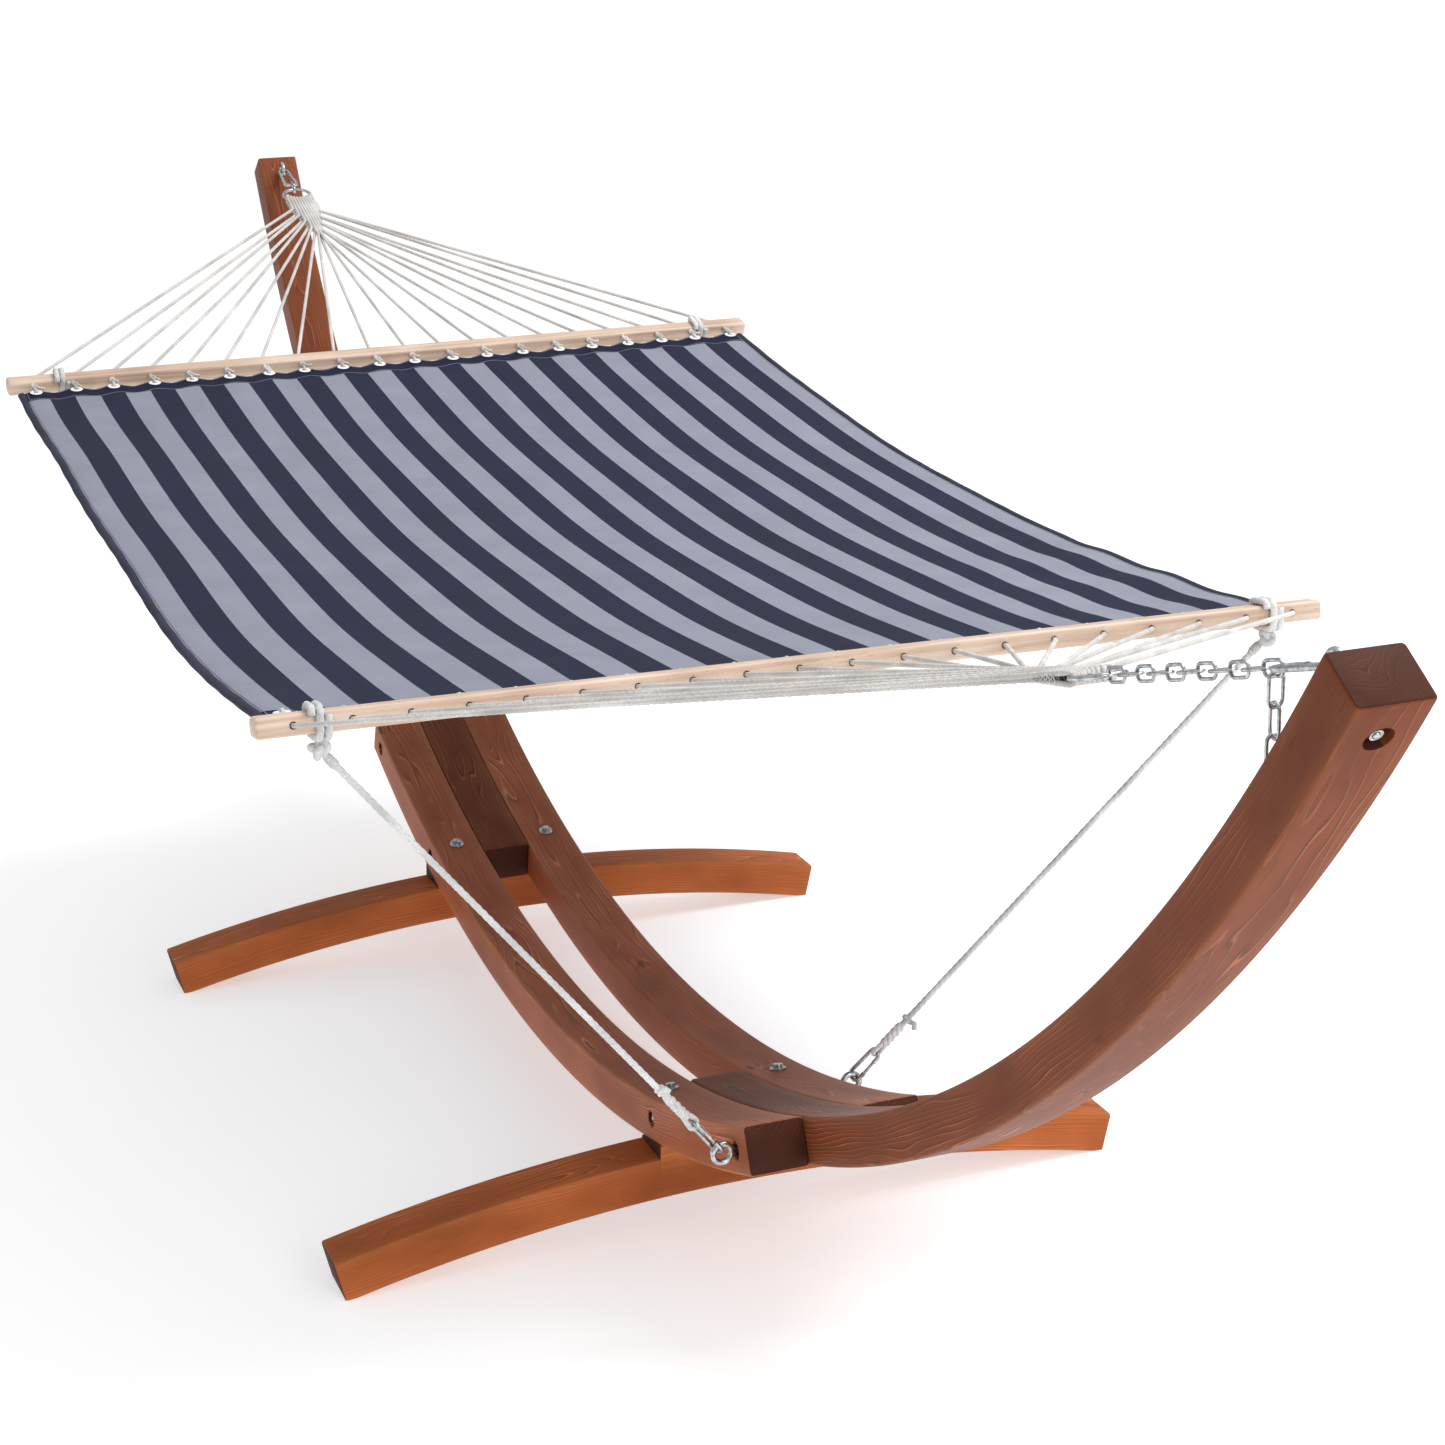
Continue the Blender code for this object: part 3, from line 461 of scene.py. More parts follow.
fans = (
    ("near", near_ring, near_way, near_centre, near_wide, near_thick, near_side),
    ("far", far_ring, far_way, far_centre, -far_wide, far_thick, ACROSS),
)
for place, ring, way, centre, outward, over, lengthways in fans:
    for first in range(0, HOLE_COUNT, 2):
        path = route(fan_route(ring, way, centre, outward, over, lengthways, first), 0.0026, 0.012)
        cord = piece(
            f"{place}_fan_cord_{first // 2 + 1:02d}",
            [tube(path, CORD_R, 9, facing=over, lobes=STRANDS, pitch=CORD_LAY, depth=STRAND_DEPTH)],
            cotton_cord,
            "hammock",
            f"{place}_cord_fan",
            slot="cotton_cord",
            sharp=180,
        )
print(HOLE_COUNT, "fan cords")

# %% [markdown]
# ## The woven tip of each fan
# A thin weft goes back and forth between the two layers of runs, once every few millimetres from the
# ring to the place where the middle runs leave. It is what keeps the tip flat, so it is made as one
# snaking cord, in the plane across the runs.


# %% Wefts
WEFT_R = 0.0009
WEFT_FROM = 0.039
WEFT_TO = 0.210
WEFT_PITCH = 0.0052
WEFT_HEIGHT = 0.0050


def weft(ring, mouth, over):
    """A snake of rows: height = amplitude * sin(pi * y / (2 * pitch) + pi * row), at the row's distance."""
    down = unit(mouth - ring)
    rows = []
    for number, distance in enumerate(np.arange(WEFT_FROM, WEFT_TO, WEFT_PITCH)):
        share = min(1.0, 1 - (distance - WEB_START) / WEB_LENGTH)
        half = share * RUN_PITCH * (HOLE_COUNT - 1) / 2 + 0.0028
        y = np.linspace(-half, half, 90) * (-1) ** number
        wave = WEFT_HEIGHT * np.sin(np.pi * y / (2 * RUN_PITCH) + np.pi * number)
        rows.append(ring + down * distance + ACROSS * y[:, None] + over * wave[:, None])
    return np.concatenate(rows)


for place, ring, way, centre, outward, over, lengthways in fans:
    path = weft(ring, centre + outward * BAR_WIDTH / 2, over)
    piece(
        f"{place}_fan_weft",
        [tube(path, WEFT_R, 6, facing=unit(centre - ring))],
        cotton_cord,
        "hammock",
        f"{place}_cord_fan",
        slot="cotton_cord",
        sharp=180,
    )

# %% [markdown]
# ## The bed
# The bed is one quilted sheet, soft but stretched tight between the bars. It sags in the middle along
# a parabola. Its left edge stands a little high, its ends are pulled towards each knot, and the
# right edge ripples near the chain end. The cloth is a closed surface: a top,
# a bottom 7 mm below it and two long edges, which the binding then covers.

# %% Bed shape
BED_X = (-1.098, 0.850)
BED_Z = (0.928, 0.876)
BED_SAG = 0.066
BED_HALF = 0.68
QUILT = 0.007
STRIPE = 0.0439
EDGE_LIFT = 0.023
CORNER_LIFT = 0.012
RIPPLE = 0.0018
RIPPLE_LENGTH = 0.19
UNEVEN = 0.0022
PUCKER = 0.0022
KNOT_PULL = 0.005


def ease(value, start, end):
    """0 before start and 1 after end, with 3t^2 - 2t^3 between them."""
    t = np.clip((value - start) / (end - start), 0, 1)
    return t * t * (3 - 2 * t)


def bed_middle(x, y):
    """The height of the quilt's middle: sagging line, rolled near end, high left edge and ripples."""
    s = (x - BED_X[0]) / (BED_X[1] - BED_X[0])
    z = BED_Z[0] + (BED_Z[1] - BED_Z[0]) * s - 4 * BED_SAG * s * (1 - s)
    left = ease(-y, 0.36, 0.68)
    right = ease(y, 0.30, 0.66)
    z = z + EDGE_LIFT * left * ease(s, 0.02, 0.25) * (1 - ease(x, -0.20, 0.42))
    z = z + s * y * np.sin(NEAR_ROLL) + CORNER_LIFT * ease(-y, 0.56, 0.68) * ease(s, 0.80, 1.0)
    ripple = RIPPLE * right * np.sin(2 * np.pi * x / RIPPLE_LENGTH + 3.0 * y)
    z = z + ripple * ease(x, 0.10, 0.40) * (1 - ease(x, 0.70, 0.84))
    uneven = UNEVEN * np.sin(7.1 * x + 4.3 * y + 1.0) * np.sin(3.7 * x - 8.9 * y)
    z = z + uneven * ease(s, 0, 0.1) * (1 - ease(s, 0.9, 1))
    pull = np.cos(2 * np.pi * (y / HOLE_PITCH + 0.5))
    ends = np.exp(-(x - BED_X[0]) / 0.05) + np.exp(-(BED_X[1] - x) / 0.07)
    return z + PUCKER * pull * ends


def bed_along(s, y):
    """Where along X a share s of the length falls: an end is 2 mm out at a knot, 3 mm in between."""
    pull = 0.5 + 0.5 * np.cos(2 * np.pi * (y / HOLE_PITCH + 0.5))
    x = BED_X[0] + (BED_X[1] - BED_X[0]) * s
    return x + KNOT_PULL * (pull - 0.6) * (ease(s, 0.95, 1.0) - (1 - ease(s, 0.0, 0.05)))


rows = 220
columns = 150
share = np.linspace(0, 1, rows)
share = np.concatenate([[0.0, 0.0006], share[1:-1], [0.9994, 1.0]])
fold = np.interp(np.minimum(share, 1 - share), [0, 0.0006, 0.0045], [0.35, 0.75, 1.0])
half_turn = np.linspace(-1, 1, columns)
cross = np.concatenate([half_turn, half_turn[::-1]]) * BED_HALF
face = np.concatenate([np.ones(columns), -np.ones(columns)]) * QUILT / 2
s_grid, y_grid = np.meshgrid(share, cross, indexing="ij")
x_grid = bed_along(s_grid, y_grid)
rim = np.sqrt(np.clip(1 - (np.abs(y_grid) / (BED_HALF + 0.0002)) ** 60, 0.02, 1))
z_grid = bed_middle(x_grid, y_grid) + face[None, :] * fold[:, None] * rim
bed_points = np.stack([x_grid, y_grid, z_grid], -1)
middle_line = bed_points[:, columns // 2]
bed_length = path_length(middle_line)
line_at = lengths_along(middle_line)
cloth = np.stack([np.broadcast_to(line_at[:, None], s_grid.shape), y_grid, 0 * y_grid], -1)
print("bed length along the cloth", round(bed_length, 4), "points", bed_points.shape[:2])

# %% [markdown]
# ## Striped cloth
# The cover is solution-dyed acrylic, woven in stripes 44 mm wide: a cool pale grey and a blue so dark
# that it is almost black. A navy hem crosses both ends. The stripes are worked out from the distance
# across the cloth, which the mesh carries as an attribute, so they bend with it. The real threads are
# 0.5 mm apart, too fine to see from here, so the weave is drawn at 2 mm.


# %% Cloth material
def keep_on_points(made, name, values):
    """Stores one vector for each point of a piece, for its material to read."""
    layer = made.data.attributes.new(name, "FLOAT_VECTOR", "POINT")
    layer.data.foreach_set("vector", np.ascontiguousarray(values, np.float32).ravel())


HEM = 0.045
STRIPES = 31
WEAVE = {"Scale": 157.0, "Distortion": 0.6, "Detail": 1.0, "Detail Scale": 0.6}


def awning_cloth():
    """Stripes are the parity of across / stripe width; a hem is where an end is near."""
    made, tree, shader = new_material("acrylic_canvas", 0.82)
    place = add(tree, "Attribute", attribute_name="cloth").outputs["Vector"]
    soften = add(tree, "TexNoise", {"Vector": place, "Scale": 260.0, "Detail": 1.0})
    parts = add(tree, "SeparateXYZ", {"Vector": place})
    shake = add(
        tree, "Math", {0: soften.outputs["Fac"], 1: 0.0012, 2: -0.0006}, operation="MULTIPLY_ADD"
    )
    wavering = add(tree, "Math", {0: parts.outputs["Y"], 1: shake.outputs[0]}, operation="ADD")
    counted = add(
        tree,
        "Math",
        {0: wavering.outputs[0], 1: 1 / STRIPE, 2: STRIPES / 2 + 16},
        operation="MULTIPLY_ADD",
    )
    parity = add(tree, "Math", {0: counted.outputs[0], 1: 2.0}, operation="FLOORED_MODULO")
    stripes = add(
        tree,
        "MapRange",
        {"Value": parity.outputs[0], "From Min": 0.99, "From Max": 1.01},
    )
    wrapped = add(tree, "MapRange", {"Value": parity.outputs[0], "From Min": 1.99, "From Max": 2.0})
    dark = add(tree, "Math", {0: stripes.outputs[0], 1: wrapped.outputs[0]}, operation="SUBTRACT")
    to_end = add(tree, "Math", {0: parts.outputs["X"], 1: bed_length / 2}, operation="SUBTRACT")
    from_middle = add(tree, "Math", {0: to_end.outputs[0]}, operation="ABSOLUTE")
    hem_from = bed_length / 2 - HEM
    hem = add(
        tree,
        "MapRange",
        {"Value": from_middle.outputs[0], "From Min": hem_from, "From Max": hem_from + 0.001},
    )
    warp = add(tree, "TexWave", {"Vector": place, **WEAVE}, bands_direction="X")
    fill = add(tree, "TexWave", {"Vector": place, **WEAVE}, bands_direction="Y")
    weave = add(
        tree, "Math", {0: warp.outputs["Fac"], 1: fill.outputs["Fac"]}, operation="MULTIPLY"
    )
    cloud = add(tree, "TexNoise", {"Vector": place, "Scale": 9.0, "Detail": 4.0, "Roughness": 0.6})
    pale = add(
        tree,
        "Mix",
        {"Factor": weave.outputs[0], 6: linear("848694"), 7: linear("989BA7")},
        data_type="RGBA",
    )
    navy = add(
        tree,
        "Mix",
        {"Factor": weave.outputs[0], 6: linear("202336"), 7: linear("34374C")},
        data_type="RGBA",
    )
    hemmed = add(
        tree,
        "Mix",
        {"Factor": weave.outputs[0], 6: linear("181B2F"), 7: linear("2A2D4A")},
        data_type="RGBA",
    )
    striped = add(
        tree,
        "Mix",
        {"Factor": dark.outputs[0], 6: pale.outputs[2], 7: navy.outputs[2]},
        data_type="RGBA",
    )
    whole = add(
        tree,
        "Mix",
        {"Factor": hem.outputs[0], 6: striped.outputs[2], 7: hemmed.outputs[2]},
        data_type="RGBA",
    )
    value = add(
        tree,
        "MapRange",
        {"Value": cloud.outputs["Fac"], "From Min": 0.3, "From Max": 0.7, "To Min": 0.93, "To Max": 1.07},
    )
    faded = add(tree, "HueSaturation", {"Color": whole.outputs[2], "Value": value.outputs[0]})
    bump = add(tree, "Bump", {"Height": weave.outputs[0], "Strength": 0.35, "Distance": 0.0006})
    tree.links.new(faded.outputs[0], shader.inputs["Base Color"])
    tree.links.new(bump.outputs["Normal"], shader.inputs["Normal"])
    shader.inputs["Specular IOR Level"].default_value = 0.12
    return made


acrylic_canvas = awning_cloth()
bed = piece(
    "striped_bed",
    [sheet_of(bed_points, around=True, caps=True)],
    acrylic_canvas,
    "hammock",
    "fabric_bed",
    slot="bed_fabric",
    sharp=70,
)
keep_on_points(bed, "cloth", cloth.reshape(-1, 3))

# %% [markdown]
# ## Binding and stitches
# A folded navy tape covers each long edge, and a row of pale thread holds it down on the inside. The
# same thread sews the hems. A stitch is a short rod with pointed ends, copied along its seam.


# %% Binding and stitches
TAPE_R = 0.0052
STITCH = 0.0034
STITCH_PITCH = 0.0046
THREAD_R = 0.0006


def repeated(surface, places, ahead, side):
    """Copies of one small surface: each point is place + x * ahead + y * side + z * (ahead x side)."""
    flat, quads, rings, uv = surface
    over = np.cross(ahead, side)
    copies = places[:, None] + flat[None, :, 0:1] * ahead[:, None] + flat[None, :, 1:2] * side[:, None]
    copies = copies + flat[None, :, 2:3] * over[:, None]
    steps = np.arange(len(places)) * len(flat)
    faces = (quads[None] + steps[:, None, None]).reshape(-1, 4)
    ends = [[k + step for k in ring] for step in steps for ring in rings]
    return copies.reshape(-1, 3), faces, ends, np.tile(uv, (len(places), 1, 1))


def seam(path, pitch, length, radius):
    """Stitches along a path, one for each pitch, lying on the surface."""
    at = lengths_along(path)
    spots = np.arange(pitch / 2, at[-1], pitch)
    places = np.stack([np.interp(spots, at, path[:, k]) for k in range(3)], -1)
    after = np.stack([np.interp(spots + 0.001, at, path[:, k]) for k in range(3)], -1)
    ahead = unit(after - places + 1e-9)
    side = unit(np.cross(np.broadcast_to(UP, ahead.shape), ahead))
    rod = np.linspace(-0.5, 0.5, 5) * length
    swell = radius * np.array([0.3, 0.9, 1.0, 0.9, 0.3])
    angle = 2 * np.pi * np.arange(6) / 6
    along = np.broadcast_to(rod[:, None], (5, 6))
    grid = np.stack([along, swell[:, None] * np.cos(angle), swell[:, None] * np.sin(angle)], -1)
    return repeated(sheet_of(grid, around=True, caps=True), places, ahead, side)


edge_share = np.linspace(0.0, 1.0, 320)
thread_material = laid_fibre("polyester_thread", "B4B6C3", "868896", 1.2)
tape_material = laid_fibre("navy_tape", "2A2D48", "15172A", 1.6)
tapes = []
stitches = []
for side in (-1, 1):
    y = np.full(edge_share.shape, side * (BED_HALF - 0.0005))
    x = bed_along(edge_share, y)
    edge = np.stack([x, y + side * 0.0004 * np.sin(61 * x), bed_middle(x, y)], -1)
    tapes.append(tube(edge, TAPE_R, 16, facing=UP, flat=1.25))
    inner = np.stack([x, y - side * 0.0085, bed_middle(x, y - side * 0.0085) + QUILT / 2], -1)
    stitches.append(seam(inner, STITCH_PITCH, STITCH, THREAD_R))
for end, distance in ((0.0, 1), (1.0, -1)):
    for step in (0.006, HEM - 0.003):
        y = np.linspace(-BED_HALF + 0.01, BED_HALF - 0.01, 500)
        x = bed_along(np.full(y.shape, end), y) + distance * step
        line = np.stack([x, y, bed_middle(x, y) + QUILT / 2], -1)
        stitches.append(seam(line, STITCH_PITCH, STITCH, THREAD_R))
bindings = piece("side_bindings", tapes, tape_material, "hammock", slot="bed_fabric", sharp=180)
seams = piece("bed_stitches", stitches, thread_material, "hammock", slot="bed_fabric", sharp=180)
print("stitches", len(stitches), "rows")

# %% [markdown]
# ## Knots and washers at the hems
# Every cord ends in a knot against the bar's inner face. From it a short stem goes down through a white
# plastic washer, 22 mm wide, that spreads the pull over the hem, and the cord's cut tail sticks out
# sideways. The knot is a trefoil, which is the closed form of a simple overhand knot.


# %% Hem knots and washers
WASHER_MID = 0.0072
WASHER_RIM = 0.0036
WASHER_THICK = 0.0022
HEM_KNOT = 0.0054
HEM_KNOT_ROD = 0.0028
STEM_R = 0.0026
TAIL_R = 0.0024


def trefoil(centre, size, axis, steps=72):
    """A knot: (sin t + 2 sin 2t, cos t - 2 cos 2t, -1.3 sin 3t) * size / 3, the third along the axis."""
    t = np.linspace(0, 2 * np.pi, steps, endpoint=False)
    axis = unit(axis)
    side = unit(np.cross(axis, ACROSS if abs(axis[1]) < 0.8 else ALONG))
    over = np.cross(axis, side)
    a = (np.sin(t) + 2 * np.sin(2 * t)) * size / 3
    b = (np.cos(t) - 2 * np.cos(2 * t)) * size / 3
    c = -1.3 * np.sin(3 * t) * size / 3
    return np.asarray(centre) + a[:, None] * side + b[:, None] * over + c[:, None] * axis


washer_plastic, tree, shader = new_material("white_nylon", 0.38)
place = add(tree, "TexCoord")
dirt = add(tree, "TexNoise", {"Vector": place.outputs["Object"], "Scale": 90.0, "Detail": 3.0})
tone = add(
    tree,
    "ValToRGB",
    {"Fac": dirt.outputs["Fac"]},
    stops=[(0.3, linear("D9DAD8")), (0.6, linear("F2F3F3"))],
)
tree.links.new(tone.outputs["Color"], shader.inputs["Base Color"])

turn = np.linspace(0, 2 * np.pi, 14, endpoint=False)
angle = np.linspace(0, 2 * np.pi, 28, endpoint=False)
reach = WASHER_MID + WASHER_RIM * np.cos(turn)
height = WASHER_THICK / 2 * np.sin(turn)
grid = np.stack(
    [
        reach[None, :] * np.cos(angle)[:, None],
        reach[None, :] * np.sin(angle)[:, None],
        np.broadcast_to(height, (28, 14)),
    ],
    -1,
)
washer = sheet_of(grid, around=True, along=True)
for place, ring, way, centre, outward, over, lengthways in fans:
    balls = []
    spots = []
    inner = -outward
    for number, y in enumerate(hole_y):
        wobble = np.sin(number * 2.4)
        ball = centre + inner * (BAR_WIDTH / 2 + 0.0066) + lengthways * y + over * 0.0040
        x = BED_X[0] + 0.013 if place == "far" else BED_X[1] - 0.013
        y_seat = np.clip(y + 0.002 * wobble, -BED_HALF + 0.014, BED_HALF - 0.014)
        seat = np.array((x, y_seat, bed_middle(x, y_seat) + QUILT / 2 + 0.0012))
        spots.append(seat)
        axis = unit(inner + 0.5 * wobble * ACROSS + 0.3 * UP)
        balls.append(tube(trefoil(ball, HEM_KNOT, axis), HEM_KNOT_ROD, 8, closed=True, facing=axis))
        stem = np.array([ball, ball + inner * 0.005, seat + UP * 0.004, seat - UP * 0.004])
        stem = route(stem, 0.0015, 0.006)
        balls.append(tube(stem, STEM_R, 9, facing=ACROSS, lobes=3, pitch=0.02, depth=0.1))
        reach_y = 0.013 + 0.004 * np.cos(number * 1.7)
        tip = ball + ACROSS * reach_y + inner * (0.004 + 0.003 * wobble) - UP * (0.002 + 0.002 * wobble)
        tail = route(np.array([ball, ball + ACROSS * 0.006 + inner * 0.003, tip]), 0.0015, 0.004)
        spread = np.linspace(1.0, 1.15, len(tail))
        balls.append(tube(tail, TAIL_R * spread, 9, facing=over, lobes=3, pitch=0.02, depth=0.12))
    spots = np.array(spots)
    slope = (bed_middle(spots[:, 0] + 0.005, spots[:, 1]) - bed_middle(spots[:, 0], spots[:, 1])) / 0.005
    ahead = unit(np.stack([np.ones(20), np.zeros(20), slope], -1))
    piece(
        f"{place}_hem_washers",
        [repeated(washer, spots, ahead, np.broadcast_to(ACROSS, ahead.shape))],
        washer_plastic,
        "hammock",
        slot="cotton_cord",
        sharp=60,
    )
    piece(
        f"{place}_hem_knots",
        balls,
        cotton_cord,
        "hammock",
        f"{place}_cord_fan",
        slot="cotton_cord",
        sharp=180,
    )
print("hem knots", 2 * HOLE_COUNT)

# %% [markdown]
# ## Spreader bars
# Each bar is a planed hardwood batten with rounded edges, bored with 20 holes. The section is a
# rectangle with quarter-round corners, carried along the bar and drawn in at both ends. The holes are
# cut with a Boolean, whose result is kept as the mesh.


# %% Rounded sections and holes
HOLE_R = 0.0043
HOLE_MOUTH = 0.0063
BAR_EDGE = 0.0048
BAR_END = 0.005


def rounded(width, height, corner, per_corner=5, per_side=2):
    """A rectangle with quarter-circle corners, with extra points along its straight sides."""
    quarter = np.linspace(0, np.pi / 2, per_corner)
    arc = np.stack([np.cos(quarter), np.sin(quarter)], -1) * corner
    x = width / 2 - corner
    y = height / 2 - corner
    turns = []
    for number, (a, b) in enumerate(((1, 1), (-1, 1), (-1, -1), (1, -1))):
        spin = number * np.pi / 2
        c, s = np.cos(spin), np.sin(spin)
        turns.append(arc @ np.array([[c, s], [-s, c]]) + (a * x, b * y))
    points = []
    for number, ring in enumerate(turns):
        following = turns[(number + 1) % 4][0]
        between = np.linspace(0, 1, per_side + 2)[1:-1, None]
        points.append(ring)
        points.append(ring[-1] * (1 - between) + following * between)
    return np.concatenate(points)


def drawn_in(length, step, end_round):
    """Stations along a bar and how far the section is drawn in at each, as a quarter circle at each end."""
    bend = np.radians(np.array([8, 25, 45, 65, 90]))
    near = end_round * (1 - np.cos(bend))
    drawn = end_round * (1 - np.sin(bend))
    count = max(2, int(length / step))
    inner = np.linspace(near[-1], length - near[-1], count)
    at = np.concatenate([near[:-1], inner, length - near[:-1][::-1]])
    inset = np.concatenate([drawn[:-1], np.zeros(count), drawn[:-1][::-1]])
    return at, inset


def bored(made, cutters):
    """Cuts holes from a piece with a Boolean, and keeps the evaluated result as its mesh."""
    tool = bpy.data.objects.new("tool", build_mesh("tool", cutters))
    bpy.context.scene.collection.objects.link(tool)
    cut = made.modifiers.new("holes", "BOOLEAN")
    cut.operation = "DIFFERENCE"
    cut.solver = "EXACT"
    cut.object = tool
    result = bpy.data.meshes.new_from_object(made.evaluated_get(bpy.context.evaluated_depsgraph_get()))
    made.modifiers.clear()
    made.data = result
    result.shade_smooth()
    result.set_sharp_from_angle(angle=np.radians(35))
    bpy.data.objects.remove(tool)


def points_of(made):
    """A piece's points as an array."""
    flat = np.empty(3 * len(made.data.vertices))
    made.data.vertices.foreach_get("co", flat)
    return flat.reshape(-1, 3)


def planed_batten():
    """Pale hardwood: long soft streaks, short dark pores and a slight change of warmth along the bar."""
    made, tree, shader = new_material("planed_beech", 0.5)
    place = add(tree, "TexCoord").outputs["Object"]
    long_way = add(tree, "Mapping", {"Vector": place, "Scale": (160.0, 4.0, 160.0)})
    streak = add(tree, "TexNoise", {"Vector": long_way.outputs[0], "Scale": 1.0, "Detail": 4.0})
    pore_way = add(tree, "Mapping", {"Vector": place, "Scale": (700.0, 60.0, 700.0)})
    pores = add(tree, "TexNoise", {"Vector": pore_way.outputs[0], "Scale": 1.0, "Detail": 1.0})
    patch = add(tree, "TexNoise", {"Vector": place, "Scale": 7.0, "Detail": 2.0})
    mixed = add(tree, "Math", {0: patch.outputs["Fac"], 1: 0.45}, operation="MULTIPLY")
    shares = {0: streak.outputs["Fac"], 1: 0.55, 2: mixed.outputs[0]}
    both = add(tree, "Math", shares, operation="MULTIPLY_ADD")
    tone = add(
        tree,
        "ValToRGB",
        {"Fac": both.outputs[0]},
        stops=[(0.34, linear("AF917C")), (0.5, linear("CFB5A0")), (0.66, linear("DFCBBA"))],
    )
    dots = add(
        tree,
        "MapRange",
        {"Value": pores.outputs["Fac"], "From Min": 0.64, "From Max": 0.74, "To Max": 0.4},
    )
    specked = add(
        tree,
        "Mix",
        {"Factor": dots.outputs[0], 6: tone.outputs["Color"], 7: linear("94684A")},
        data_type="RGBA",
    )
    bump = add(tree, "Bump", {"Height": streak.outputs["Fac"], "Strength": 0.25, "Distance": 0.0004})
    tree.links.new(specked.outputs[2], shader.inputs["Base Color"])
    tree.links.new(bump.outputs["Normal"], shader.inputs["Normal"])
    return made


planed_beech = planed_batten()
for place, centre, wide, thick, lengthways in (
    ("near", near_centre, near_wide, near_thick, near_side),
    ("far", far_centre, far_wide, far_thick, ACROSS),
):
    at, inset = drawn_in(BAR_LENGTH, 0.02, BAR_END)
    section = rounded(BAR_WIDTH, BAR_THICK, BAR_EDGE)
    shrink = 1 - 2 * inset[:, None, None] / np.array((BAR_WIDTH, BAR_THICK))
    drawn = section[None] * shrink
    points = centre + drawn[..., 0:1] * wide + drawn[..., 1:2] * thick
    points = points + (at - BAR_LENGTH / 2)[:, None, None] * lengthways
    bar = piece(
        f"{place}_bar_batten",
        [sheet_of(points, around=True, caps=True)],
        planed_beech,
        None,
        f"{place}_spreader_bar",
        slot="bar_wood",
    )
    drills = []
    reach = 0.03
    mouth = BAR_WIDTH / 2
    distances = [0, reach - mouth - 0.002, reach - mouth + 0.0012]
    distances += [reach + mouth - 0.0012, reach + mouth + 0.002, 2 * reach]
    radii = [HOLE_MOUTH, HOLE_MOUTH, HOLE_R, HOLE_R, HOLE_MOUTH, HOLE_MOUTH]
    for y in hole_y:
        base = centre - wide * reach + lengthways * y
        drills.append(turned(base, wide, distances, radii, sides=20))
    bored(bar, drills)
    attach(bar, "hammock")
    print(place, "bar faces", len(bar.data.polygons))

# %% [markdown]
# ## Stained larch
# The stand is larch, bent and stained red-brown, the arms a shade darker. On flat-sawn faces the
# growth rings come out as long flames, dark late wood beside thin straw lines. A beam is curved, so
# its mesh carries its own grain coordinates: the distance along the arc, across the beam and into
# it. The rings are circles round a pith that lies beside the beam, pushed about by noise, so the
# faces and the ends agree.


